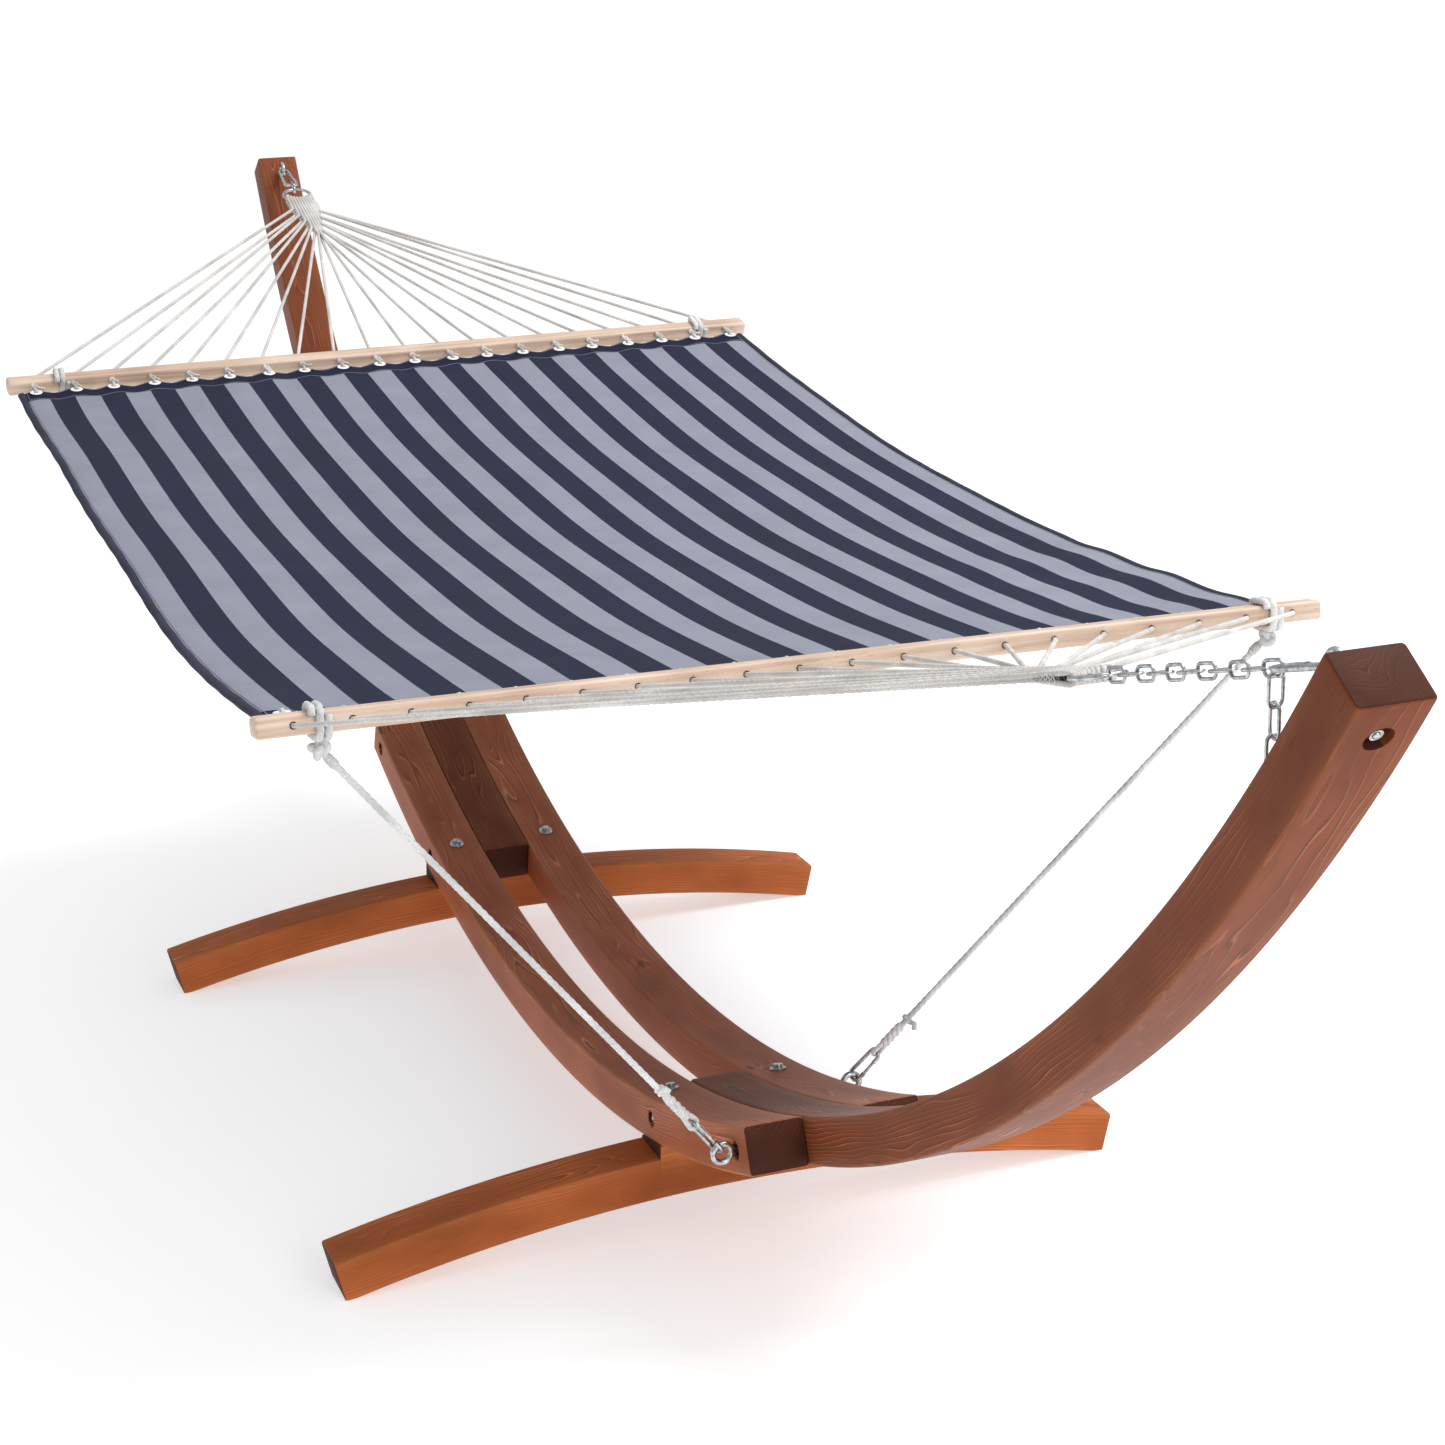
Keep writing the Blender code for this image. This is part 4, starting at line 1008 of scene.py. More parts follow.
# %% Larch material
def larch(name, early, late, straw, pith, shine=0.45):
    """Rings: the distance from the pith, plus noise, read through a saw-toothed wave 5 mm long."""
    made, tree, shader = new_material(name, shine)
    shader.inputs["Specular IOR Level"].default_value = 0.1
    grain = add(tree, "Attribute", attribute_name="grain").outputs["Vector"]
    broad = add(tree, "Mapping", {"Vector": grain, "Scale": (3.4, 20.0, 20.0)})
    push = add(tree, "TexNoise", {"Vector": broad.outputs[0], "Scale": 1.0, "Detail": 1.5})
    less_half = {0: push.outputs["Color"], 1: (0.5, 0.5, 0.5)}
    centred = add(tree, "VectorMath", less_half, operation="SUBTRACT")
    pushed = {0: centred.outputs[0], 1: (0.0, 0.042, 0.042), 2: grain}
    moved = add(tree, "VectorMath", pushed, operation="MULTIPLY_ADD").outputs[0]
    from_pith = add(tree, "Mapping", {"Vector": moved, "Location": pith, "Scale": (0.03, 1.0, 1.0)})
    rings = add(
        tree,
        "TexWave",
        {"Vector": from_pith.outputs[0], "Scale": 62.0, "Distortion": 1.6, "Detail": 3.0, "Detail Scale": 2.0},
        wave_type="RINGS",
        rings_direction="X",
        wave_profile="SAW",
    )
    ring_tone = add(
        tree,
        "ValToRGB",
        {"Fac": rings.outputs["Fac"]},
        stops=[
            (0.0, linear(straw)),
            (0.10, linear(early)),
            (0.62, linear(early)),
            (0.90, linear(late)),
            (0.97, linear(straw)),
        ],
    )
    fibre_way = add(tree, "Mapping", {"Vector": grain, "Scale": (14.0, 520.0, 520.0)})
    fibre = add(tree, "TexNoise", {"Vector": fibre_way.outputs[0], "Scale": 1.0, "Detail": 3.0})
    patch_way = add(tree, "Mapping", {"Vector": grain, "Scale": (5.0, 13.0, 13.0)})
    patch = add(tree, "TexNoise", {"Vector": patch_way.outputs[0], "Scale": 1.0, "Detail": 3.0})
    shown = add(
        tree,
        "MapRange",
        {"Value": patch.outputs["Fac"], "From Min": 0.42, "From Max": 0.66, "To Min": 0.10, "To Max": 0.90},
    )
    ringed = add(
        tree,
        "Mix",
        {"Factor": shown.outputs[0], 6: linear(early), 7: ring_tone.outputs["Color"]},
        data_type="RGBA",
    )
    knot_place = {"Vector": grain, "Scale": (4.2, 13.0, 13.0), "Location": (0.37, 0.2, 0.1)}
    knot_way = add(tree, "Mapping", knot_place)
    knots = add(tree, "TexVoronoi", {"Vector": knot_way.outputs[0], "Scale": 1.0})
    knot_dark = add(
        tree,
        "MapRange",
        {"Value": knots.outputs["Distance"], "From Min": 0.03, "From Max": 0.08, "To Min": 0.8, "To Max": 0.0},
    )
    knotted = add(
        tree,
        "Mix",
        {"Factor": knot_dark.outputs[0], 6: ringed.outputs[2], 7: linear("41200F")},
        data_type="RGBA",
    )
    # Points near an edge are mixed towards the straw colour, so every edge is lighter.
    edge_nearness = add(tree, "Attribute", attribute_name="edge_nearness").outputs["Fac"]
    edge_light_share = add(tree, "Math", {0: edge_nearness, 1: fibre.outputs["Fac"]}, operation="MULTIPLY")
    edge_lightened = add(
        tree,
        "Mix",
        {"Factor": edge_light_share.outputs[0], 6: knotted.outputs[2], 7: linear(straw)},
        data_type="RGBA",
    )
    bright = add(
        tree, "Math", {0: fibre.outputs["Fac"], 1: 0.30, 2: 0.25}, operation="MULTIPLY_ADD"
    )
    brighter = add(
        tree, "Math", {0: patch.outputs["Fac"], 1: 1.2, 2: bright.outputs[0]}, operation="MULTIPLY_ADD"
    )
    toned = add(tree, "HueSaturation", {"Color": edge_lightened.outputs[2], "Value": brighter.outputs[0]})
    relief = add(
        tree, "Math", {0: rings.outputs["Fac"], 1: 0.5, 2: fibre.outputs["Fac"]}, operation="MULTIPLY_ADD"
    )
    bump = add(tree, "Bump", {"Height": relief.outputs[0], "Strength": 0.24, "Distance": 0.0008})
    gloss = add(
        tree,
        "MapRange",
        {"Value": fibre.outputs["Fac"], "To Min": shine - 0.08, "To Max": shine + 0.12},
    )
    tree.links.new(toned.outputs[0], shader.inputs["Base Color"])
    tree.links.new(gloss.outputs[0], shader.inputs["Roughness"])
    tree.links.new(bump.outputs["Normal"], shader.inputs["Normal"])
    return made


beam_larch = larch("stained_larch", "A95F40", "6C3421", "C68E68", (0.0, 0.012, 0.055))
arm_larch = larch("dark_stained_larch", "763C22", "4E2515", "9A6443", (0.0, 0.012, 0.055))
foot_larch = larch("stained_larch_foot", "AC5C30", "7E3C19", "C5804C", (0.0, -0.02, 0.07))
end_larch = larch("larch_end_grain", "4A281D", "2E1610", "623C2C", (0.0, 0.02, 0.05), 0.6)

# %% [markdown]
# ## Beams and feet
# Both arms and both rails are the same square timber bent on one circle. The feet are shorter and arch
# the other way, with a low seat in the middle that takes the rails. Edges are eased by about 4 mm. The
# bolts sit in counterbores, cut with a Boolean.


# %% Beams
BEAM_EDGE = 0.0042
BEAM_END = 0.003
# How far in from an edge the lightening reaches.
EDGE_FALLOFF = 0.0035


def add_grain(made, along, across, deep, half_width, half_depth, offset):
    """Grain coordinates for each point, and how near an edge it lies, which the material lightens."""
    keep_on_points(made, "grain", np.stack([along + offset, across, deep - half_depth], -1))
    gap_across = half_width - np.abs(across)
    gap_deep = half_depth - np.abs(deep - half_depth)
    corner = np.hypot(np.clip(gap_across, 0, 1), np.clip(gap_deep, 0, 1))
    # Closeness to the nearest edge, which the larch material lightens.
    layer = made.data.attributes.new("edge_nearness", "FLOAT", "POINT")
    layer.data.foreach_set("value", np.exp(-corner / EDGE_FALLOFF).astype(np.float32))


def mark_ends(made, heading_of):
    """Gives the end-grain material to the faces that look along the timber."""
    count = len(made.data.polygons)
    normal = np.empty(3 * count)
    middle = np.empty(3 * count)
    made.data.polygons.foreach_get("normal", normal)
    made.data.polygons.foreach_get("center", middle)
    heading = heading_of(middle.reshape(-1, 3))
    facing = np.abs((normal.reshape(-1, 3) * heading).sum(1)) > 0.8
    made.data.materials.append(end_larch)
    made.data.polygons.foreach_set("material_index", facing.astype(np.int32))


def beam(name, start, end, y_low, y_high, node, cutters, offset, stain=beam_larch):
    """A rounded square section carried along the common circle: (r sin a, y, centre - r cos a)."""
    at, inset = drawn_in(np.radians(end - start) * ARC_MID, 0.012, BEAM_END)
    angle = np.radians(start) + at / ARC_MID
    width = y_high - y_low
    section = rounded(width, BEAM_DEPTH, BEAM_EDGE, 5, 3)
    drawn = section[None] * (1 - 2 * inset[:, None, None] / np.array((width, BEAM_DEPTH)))
    y = (y_low + y_high) / 2 + drawn[..., 0]
    radius = ARC_MID + drawn[..., 1]
    x = radius * np.sin(angle)[:, None]
    points = np.stack([x, y, ARC_CENTRE_Z - radius * np.cos(angle)[:, None]], -1)
    made = piece(name, [sheet_of(points, around=True, caps=True)], stain, None, node, slot="stained_larch")
    bored(made, cutters)
    place = points_of(made)
    turn = np.arctan2(place[:, 0], ARC_CENTRE_Z - place[:, 2])
    deep = np.hypot(place[:, 0], ARC_CENTRE_Z - place[:, 2]) - ARC_INNER
    across = place[:, 1] - (y_low + y_high) / 2
    add_grain(made, turn * ARC_MID, across, deep, width / 2, BEAM_DEPTH / 2, offset)

    def heading(middle):
        """The direction along the arc at each place."""
        a = np.arctan2(middle[:, 0], ARC_CENTRE_Z - middle[:, 2])
        return np.stack([np.cos(a), 0 * a, np.sin(a)], -1)

    mark_ends(made, heading)
    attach(made, "stand")
    return made


BORE = [0, 0.011, 0.013, 0.02]
BORE_R = [0.012, 0.012, 0.0138, 0.0138]
TIP_BORE_R = 0.0145
arm_half = BEAM_WIDTH / 2 - 0.0005
rail_out = 1.5 * BEAM_WIDTH
for hand, side, offset in (("left", -1, 0.0), ("right", 1, 7.3)):
    drills = []
    for degree in (CROSS_INNER, CROSS_OUTER, -CROSS_INNER, -CROSS_OUTER):
        base = on_arc(degree, ARC_MID, side * (rail_out - BORE_DEPTH))
        drills.append(turned(base, (0, side, 0), BORE, BORE_R, sides=40))
    y_low, y_high = sorted((side * BEAM_WIDTH / 2, side * rail_out))
    beam(f"{hand}_rail_timber", -RAIL_END, RAIL_END, y_low, y_high, f"{hand}_rail", drills, offset)
for place, end, offset in (("near", 1, 3.1), ("far", -1, 5.7)):
    base = on_arc(end * TIP_BOLT, ARC_OUTER - BORE_DEPTH)
    drill = turned(base, -inward(end * TIP_BOLT), [0, 0.03], [TIP_BORE_R, TIP_BORE_R], sides=40)
    low, high = sorted((end * ARM_LOW, end * ARM_TIP))
    beam(f"{place}_arm_timber", low, high, -arm_half, arm_half, f"{place}_arm", [drill], offset, arm_larch)


# %% Feet
def rail_underside(x):
    """The height of the rails' lower faces at x, less the clearance."""
    return ARC_CENTRE_Z - np.sqrt((ARC_OUTER + 0.0003) ** 2 - x * x)


def foot(name, end, node, offset):
    """An arch: ((r + h) sin a, (r + h) cos a - drop), flat at the ends and cut to a seat in the middle."""
    last = np.arcsin(FOOT_SPAN / 2 / FOOT_ARCH)
    seat = np.arcsin((rail_out - 0.0005) / FOOT_ARCH)
    at, inset = drawn_in(2 * last * FOOT_ARCH, 0.012, BEAM_END)
    angle = at / FOOT_ARCH - last
    wall = 0.0008 / FOOT_ARCH
    angle = np.sort(np.concatenate([angle, [-seat, -seat + wall, seat - wall, seat]]))
    inset = np.interp(angle, at / FOOT_ARCH - last, inset)
    section = rounded(FOOT_WIDTH, FOOT_HEIGHT, BEAM_EDGE, 5, 3)
    drawn = section[None] * (1 - 2 * inset[:, None, None] / np.array((FOOT_WIDTH, FOOT_HEIGHT)))
    x = end * FOOT_X + drawn[..., 0]
    height = drawn[..., 1] + FOOT_HEIGHT / 2
    radius = FOOT_ARCH + height
    inside = np.abs(angle)[:, None] <= seat + 1e-9
    y = np.where(inside, FOOT_ARCH, radius) * np.sin(angle)[:, None]
    z = radius * np.cos(angle)[:, None] - FOOT_DROP
    seated = (np.abs(angle)[:, None] <= seat - wall / 2) & (height > FOOT_HEIGHT / 2)
    z = np.where(seated, rail_underside(x) - (FOOT_HEIGHT - height), z)
    z = np.where(height < FOOT_HEIGHT / 2, np.maximum(z, 0.0), z)
    grid = np.stack([x, y, z], -1)
    made = piece(name, [sheet_of(grid, around=True, caps=True)], foot_larch, None, node, slot="stained_larch")
    place = points_of(made)
    turn = np.arctan2(place[:, 1], place[:, 2] + FOOT_DROP)
    deep = np.hypot(place[:, 1], place[:, 2] + FOOT_DROP) - FOOT_ARCH
    across = place[:, 0] - end * FOOT_X
    add_grain(made, turn * FOOT_ARCH, across, deep, FOOT_WIDTH / 2, FOOT_HEIGHT / 2, offset)

    def heading(middle):
        """The direction along the arch at each place."""
        a = np.arctan2(middle[:, 1], middle[:, 2] + FOOT_DROP)
        return np.stack([0 * a, np.cos(a), -np.sin(a)], -1)

    mark_ends(made, heading)
    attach(made, "stand")


foot("near_foot_timber", 1, "near_foot", 11.0)
foot("far_foot_timber", -1, "far_foot", 14.5)
print("beams and feet made")

# %% [markdown]
# ## Zinc-plated steel
# All the metal is mild steel with bright zinc plating: a light, slightly blue grey, smooth but not
# mirror-like, with faint clouding from the bath.


# %% Steel material
def zinc_plate():
    """Clouded zinc: the tone and the roughness follow the same soft noise."""
    made, tree, shader = new_material("zinc_plated_steel", 0.3, 1.0)
    place = add(tree, "TexCoord").outputs["Object"]
    cloud = add(tree, "TexNoise", {"Vector": place, "Scale": 160.0, "Detail": 4.0, "Roughness": 0.6})
    tone = add(
        tree,
        "ValToRGB",
        {"Fac": cloud.outputs["Fac"]},
        stops=[(0.3, linear("888B8E")), (0.62, linear("CCCFD1"))],
    )
    gloss = add(tree, "MapRange", {"Value": cloud.outputs["Fac"], "To Min": 0.36, "To Max": 0.2})
    bump = add(tree, "Bump", {"Height": cloud.outputs["Fac"], "Strength": 0.12, "Distance": 0.0004})
    tree.links.new(tone.outputs["Color"], shader.inputs["Base Color"])
    tree.links.new(gloss.outputs[0], shader.inputs["Roughness"])
    tree.links.new(bump.outputs["Normal"], shader.inputs["Normal"])
    return made


zinc = zinc_plate()

# %% [markdown]
# ## Rings and chain
# A ring is a circle of round rod. A chain link is bent from 4 mm rod into an oval and welded in the
# middle of one side, where it keeps a small bead. Each link turns a quarter from the one before it.

# %% Rings and links
LINK_LENGTH = 0.033
LINK_MID = 0.0072
LINK_ROD = 0.002
LINK_COUNT = 11
CLEAR = 0.0004
STEP = LINK_LENGTH - 2 * LINK_ROD - CLEAR
FIRST = RING_MID - RING_ROD - LINK_ROD - CLEAR
circle = np.linspace(0, 2 * np.pi, 72, endpoint=False)


def hoop(centre, a, b, mid, rod, sides=14):
    """A circle of rod: centre + mid * (a cos t + b sin t)."""
    path = centre + mid * (np.cos(circle)[:, None] * a + np.sin(circle)[:, None] * b)
    return tube(path, rod, sides, closed=True, facing=np.cross(a, b))


def welded_link(start, along, across):
    """Two straight sides and two half circles, with a weld bead as a bump in the rod's radius."""
    half = np.linspace(-np.pi / 2, np.pi / 2, 13)
    high = np.asarray(start) + along * (LINK_LENGTH - LINK_MID)
    low = np.asarray(start) + along * LINK_MID
    end = high + LINK_MID * (np.cos(half)[:, None] * along + np.sin(half)[:, None] * across)
    back = low - LINK_MID * (np.cos(half)[:, None] * along + np.sin(half)[:, None] * across)
    share = np.linspace(0, 1, 12)[1:-1, None]
    there = end[-1] * (1 - share) + back[0] * share
    again = back[-1] * (1 - share) + end[0] * share
    path = np.concatenate([end, there, back, again])
    number = np.arange(len(path))
    bead = np.exp(-(((number - len(end) - 4.5) / 1.1) ** 2))
    return tube(path, LINK_ROD * (1 + 0.13 * bead), 12, closed=True, facing=np.cross(along, across))


def upright(way):
    """The direction square to a suspension line, in the upright plane."""
    return np.cross(way, ACROSS)


for place, ring, way in (("near", near_ring, near_way), ("far", far_ring, far_way)):
    piece(
        f"{place}_hoop",
        [hoop(ring, way, ACROSS, RING_MID, RING_ROD, 18)],
        zinc,
        "hammock",
        f"{place}_ring",
        slot="zinc_steel",
        sharp=180,
    )
for number in range(LINK_COUNT):
    start = near_ring + near_way * (FIRST + number * STEP)
    across = upright(near_way) if number % 2 == 0 else ACROSS
    piece(
        f"welded_link_{number + 1:02d}",
        [welded_link(start, near_way, across)],
        zinc,
        "hammock",
        f"chain_link_{number + 1:02d}",
        slot="zinc_steel",
        sharp=180,
    )
piece(
    "far_welded_link",
    [welded_link(far_ring + far_way * FIRST, far_way, upright(far_way))],
    zinc,
    "hammock",
    "far_link",
    slot="zinc_steel",
    sharp=180,
)

# %% [markdown]
# ## Spring hooks
# A spring hook is one bent rod, wide where it takes the chain and narrow where it takes the eye, with a
# straight gate that turns on a pin and closes the open side. The gate is its own piece, because it
# moves.

# %% Hooks and gates
HOOK_ROD = 0.0035
HOOK_SMALL = 0.0086
HOOK_BIG = 0.012
GATE_ROOM = 0.032


def spring_hook(start, way, across, length, small, big, rod, room):
    """A rod round two circles and the tangents that join them, open on one side for the gate."""
    first = np.pi / 2 - np.arcsin((big - small) / (length - small - big))
    side = np.array((np.cos(first), np.sin(first)))
    low = np.array((big, 0.0))
    high = np.array((length - small, 0.0))
    foot_of = low + big * side
    head_of = high + small * side
    run = head_of - foot_of
    total = np.linalg.norm(run)
    gap = (total - room) / 2 / total
    gate_low = foot_of + run * gap
    gate_high = head_of - run * gap
    t = np.linspace(first, 2 * np.pi - first, 44)
    big_turn = low + big * np.stack([np.cos(t), np.sin(t)], -1)
    t = np.linspace(-first, first, 30)
    small_turn = high + small * np.stack([np.cos(t), np.sin(t)], -1)
    flat = np.concatenate([[gate_low], big_turn, small_turn, [gate_high]])
    normal = np.cross(way, across)

    def place(points):
        """Points of the hook's own plane put into space."""
        points = np.atleast_2d(points)
        return start + points[:, 0:1] * way + points[:, 1:2] * across

    path = route(place(flat), 0.0011, 0.0015)
    body = tube(path, rod, 14, facing=normal)
    along = run / total
    hinge = 0.0017 * rod / 0.0035
    gate_from = gate_low + along * hinge
    gate_to = gate_high - along * 0.0006
    count = 24
    share = np.linspace(0, 1, count)
    line = place(gate_from)[0] + share[:, None] * (place(gate_to)[0] - place(gate_from)[0])
    ends = np.minimum(share, 1 - share) * (count - 1)
    thin = rod * 0.78 * np.interp(ends, [0, 1, 2], [0.72, 0.95, 1.0])
    gate = tube(line, thin, 14, facing=normal)
    pin = place(gate_low + along * (hinge + rod * 0.7))[0]
    reach = rod * 1.12
    rivet = turned(
        pin - normal * reach,
        normal,
        [0, 0.0003, 0.0006, 2 * reach - 0.0006, 2 * reach - 0.0003, 2 * reach],
        [0.0006, 0.0012, 0.0014, 0.0014, 0.0012, 0.0006],
        sides=16,
    )
    cheek = place(np.stack([gate_low - along * rod * 0.6, gate_low + along * rod * 0.5]))
    collar = tube(route(cheek, 0.0005, 0.001), rod * 1.12, 14, facing=normal)
    return [body, collar], [gate, rivet]


def add_hook(name, body, gate_body, start, way, across, length, small, big, rod, room):
    """Makes a hook and its gate and puts each on its own body."""
    frame_parts, gate_parts = spring_hook(start, way, across, length, small, big, rod, room)
    piece(f"{name}_hook_rod", frame_parts, zinc, body, f"{name}_hook", slot="zinc_steel", sharp=50)
    piece(f"{name}_gate_rod", gate_parts, zinc, gate_body, f"{name}_hook_gate", slot="zinc_steel", sharp=50)


inside = LINK_ROD + HOOK_ROD + CLEAR
hook_to_eye = -EYE_MID + EYE_ROD + HOOK_ROD + CLEAR
near_hook_from = near_ring + near_way * (FIRST + (LINK_COUNT - 1) * STEP + LINK_LENGTH - inside)
far_hook_from = far_ring + far_way * (FIRST + LINK_LENGTH - inside)
for place, start, way, eye in (
    ("near", near_hook_from, near_way, near_eye),
    ("far", far_hook_from, far_way, far_eye),
):
    length = np.linalg.norm(eye - start) + hook_to_eye
    hook_sizes = (length, HOOK_SMALL, HOOK_BIG, HOOK_ROD, GATE_ROOM)
    add_hook(place, "hammock", f"{place}_gate", start, way, ACROSS, *hook_sizes)
    print(place, "hook length", round(length, 4))

# %% Spare end of the chain
SPARE_LINKS = 3
last_plane = upright(near_way)
below = -np.sign(last_plane[2])
spare_top = (
    near_hook_from
    - near_way * (HOOK_ROD + LINK_ROD + CLEAR)
    + last_plane * (below * (LINK_MID - 2 * LINK_ROD - CLEAR))
)
for number in range(SPARE_LINKS):
    across = ACROSS if number % 2 == 0 else ALONG
    piece(
        f"spare_welded_link_{number + 1}",
        [welded_link(spare_top - UP * number * STEP, -UP, across)],
        zinc,
        f"hanging_spare_link_{number + 1}",
        f"spare_link_{number + 1}",
        slot="zinc_steel",
        sharp=180,
    )

# %% [markdown]
# ## Bolts, nuts and eye bolts
# Each fastener is a turned profile: a list of distances along its axis and radii, with six flats where
# there is a hexagon. The threads are rolled, with a pitch of 1.25 mm, so a threaded stub is a profile
# whose radius goes up and down.


# %% Turned fasteners
def thread(start, end, radius, pitch=0.00125):
    """Distances and radii of a threaded length, with one crest for each pitch."""
    count = int((end - start) / pitch * 2)
    at = np.linspace(start, end, count)
    return list(at), [radius if k % 2 else radius * 0.88 for k in range(count)]


PLATE = [0, 0, 0.0003, 0.0013, 0.0016, 0.0016]
PLATE_R = [0.004, 0.0102, 0.0105, 0.0105, 0.0102, 0.004]
NUT = [0.0016, 0.0016, 0.0022, 0.0070, 0.0076, 0.0076]
NUT_R = [0.004, 0.0066, 0.0074, 0.0074, 0.0066, 0.004]
NUT_HEX = [0, 0, 1, 1, 0, 0]


def hex_nut(seat, axis):
    """A flat washer and a hexagonal nut with chamfered corners."""
    nut = turned(seat, axis, NUT, NUT_R, sides=48, hexed=NUT_HEX)
    return [turned(seat, axis, PLATE, PLATE_R, 48), nut]


def eye_bolt(centre, a, b, axis, tip, collar=None):
    """A ring of rod, a neck, a shank and a threaded end, with a collar where there is one."""
    ring = hoop(centre, unit(a), unit(b), EYE_MID, EYE_ROD, 16)
    at, radii = thread(tip - 0.03, tip - 0.0006, BOLT_ROD)
    neck = turned(
        centre,
        axis,
        [EYE_MID - 0.001, EYE_MID + 0.003, EYE_MID + 0.006, tip - 0.031, *at, tip],
        [0.0052, 0.0048, BOLT_ROD * 0.98, BOLT_ROD * 0.98, *radii, 0.0028],
        sides=24,
    )
    parts = [ring, neck]
    if collar:
        edge = [collar - 0.0006, collar - 0.0003, collar, collar]
        parts.append(turned(centre, axis, edge, [0.0098, 0.0105, 0.0105, 0.004], 48))
    return parts


def steel(name, parts, *nodes):
    """A steel piece of the stand."""
    return piece(name, parts, zinc, "stand", *nodes, slot="zinc_steel", sharp=32)


HEAD = [0, 0, 0.0004, 0.0014, 0.0018, 0.0018, 0.0064, 0.0070, 0.0072]
HEAD_R = [0.004, 0.0117, 0.0120, 0.0120, 0.0117, 0.0074, 0.0074, 0.0068, 0.0050]
HEAD_HEX = [0, 0, 0, 0, 0, 1, 1, 0, 0]
for place, end in (("near", 1), ("far", -1)):
    for hand, side in (("left", -1), ("right", 1)):
        top = on_arc(end * FOOT_SCREW, ARC_INNER - CLEAR, side * BEAM_WIDTH)
        up = inward(end * FOOT_SCREW)
        head = turned(top, up, HEAD, HEAD_R, sides=48, hexed=HEAD_HEX)
        steel(f"{place}_{hand}_hex_screw", [head], f"{place}_{hand}_foot_screw")

bore_floor = rail_out - BORE_DEPTH
for degree, place in ((-CROSS_INNER, "far_inner"), (-CROSS_OUTER, "far_outer")):
    base = on_arc(degree, ARC_MID, -bore_floor - CLEAR)
    head = turned(base, -ACROSS, HEAD, np.array(HEAD_R) * 0.875, sides=48, hexed=HEAD_HEX)
    at, radii = thread(0.002, 0.0095, BOLT_ROD)
    seat = on_arc(degree, ARC_MID, bore_floor + CLEAR)
    stub = turned(seat, ACROSS, [0.0, *at, 0.0098], [BOLT_ROD, *radii, 0.003], sides=24)
    steel(f"{place}_bolt_ends", [head, stub], f"{place}_cross_bolt")
    steel(f"{place}_hex_nut", hex_nut(seat, ACROSS), f"{place}_nut")

TIE_EYES = (("left", -1, CROSS_OUTER, -0.1385), ("right", 1, CROSS_INNER, 0.180))
for hand, side, degree, eye_y in TIE_EYES:
    centre = on_arc(degree, ARC_MID, eye_y)
    tip = abs(eye_y) + bore_floor + 0.0095
    parts = eye_bolt(centre, ACROSS, UP, -side * ACROSS, tip, abs(eye_y) - bore_floor - CLEAR)
    steel(f"{hand}_tie_eye_bolt", parts, f"{hand}_tie_eye")
    seat = on_arc(degree, ARC_MID, -side * (bore_floor + CLEAR))
    steel(f"{hand}_tie_hex_nut", hex_nut(seat, -side * ACROSS), f"{hand}_tie_eye_nut")
for place, end, eye, eye_radius in (
    ("near", 1, near_eye, NEAR_EYE_RADIUS),
    ("far", -1, far_eye, FAR_EYE_RADIUS),
):
    out = -inward(end * TIP_BOLT)
    seat_at = ARC_OUTER - BORE_DEPTH - eye_radius + CLEAR
    steel(f"{place}_arm_eye_bolt", eye_bolt(eye, ALONG, UP, out, seat_at + 0.0095), f"{place}_arm_eye")
    steel(f"{place}_arm_hex_nut", hex_nut(eye + out * seat_at, out), f"{place}_arm_nut")
print("fasteners made")

# %% [markdown]
# ## Tie ropes
# Two 8 mm ropes stop the bed from tipping over. Each is tied round the near bar, goes down to an eye
# in the stand and ends in a spliced loop with a small spring hook. The lower end stays with the stand
# and the upper end with the bed, and the straight line between them rides on neither. The knots are real
# loops.

# %% Tie ropes
TIE_Y = 0.625
TIE_HOOK_ROD = 0.0028
TIE_HOOK_LENGTH = 0.058
TIE_HOOK_SMALL = 0.0078
TIE_HOOK_BIG = 0.0088
TIE_GATE_ROOM = 0.024
TIE_HOOK_TURN = np.radians(24.0)
WRAP_R = 0.0047
BIG_KNOT = 0.0102
BIG_KNOT_ROD = 0.0045
SMALL_KNOT = 0.0052
SMALL_KNOT_ROD = 0.0030
LOOP_R = 0.0034
SPLICE_R = 0.0062
GRIP_R = 0.0058


def bar_wraps(centre, wide, thick, y, lengthways, turns=2):
    """Rope wound round a bar: a rounded rectangle that moves along the bar by one diameter each turn."""
    room = WRAP_R + 0.0007
    ring = rounded(BAR_WIDTH + 2 * room, BAR_THICK + 2 * room, 0.0085, 6, 6)
    path = np.concatenate([ring] * turns + [ring[:1]])
    shift = np.linspace(-turns / 2, turns / 2, len(path)) * 2.05 * WRAP_R
    path = centre + path[:, 0:1] * wide + path[:, 1:2] * thick + (y + shift)[:, None] * lengthways
    path = route(path, 0.002, 0.006)
    return tube(path, WRAP_R, 12, facing=ACROSS, lobes=STRANDS, pitch=ROPE_LAY, depth=STRAND_DEPTH)


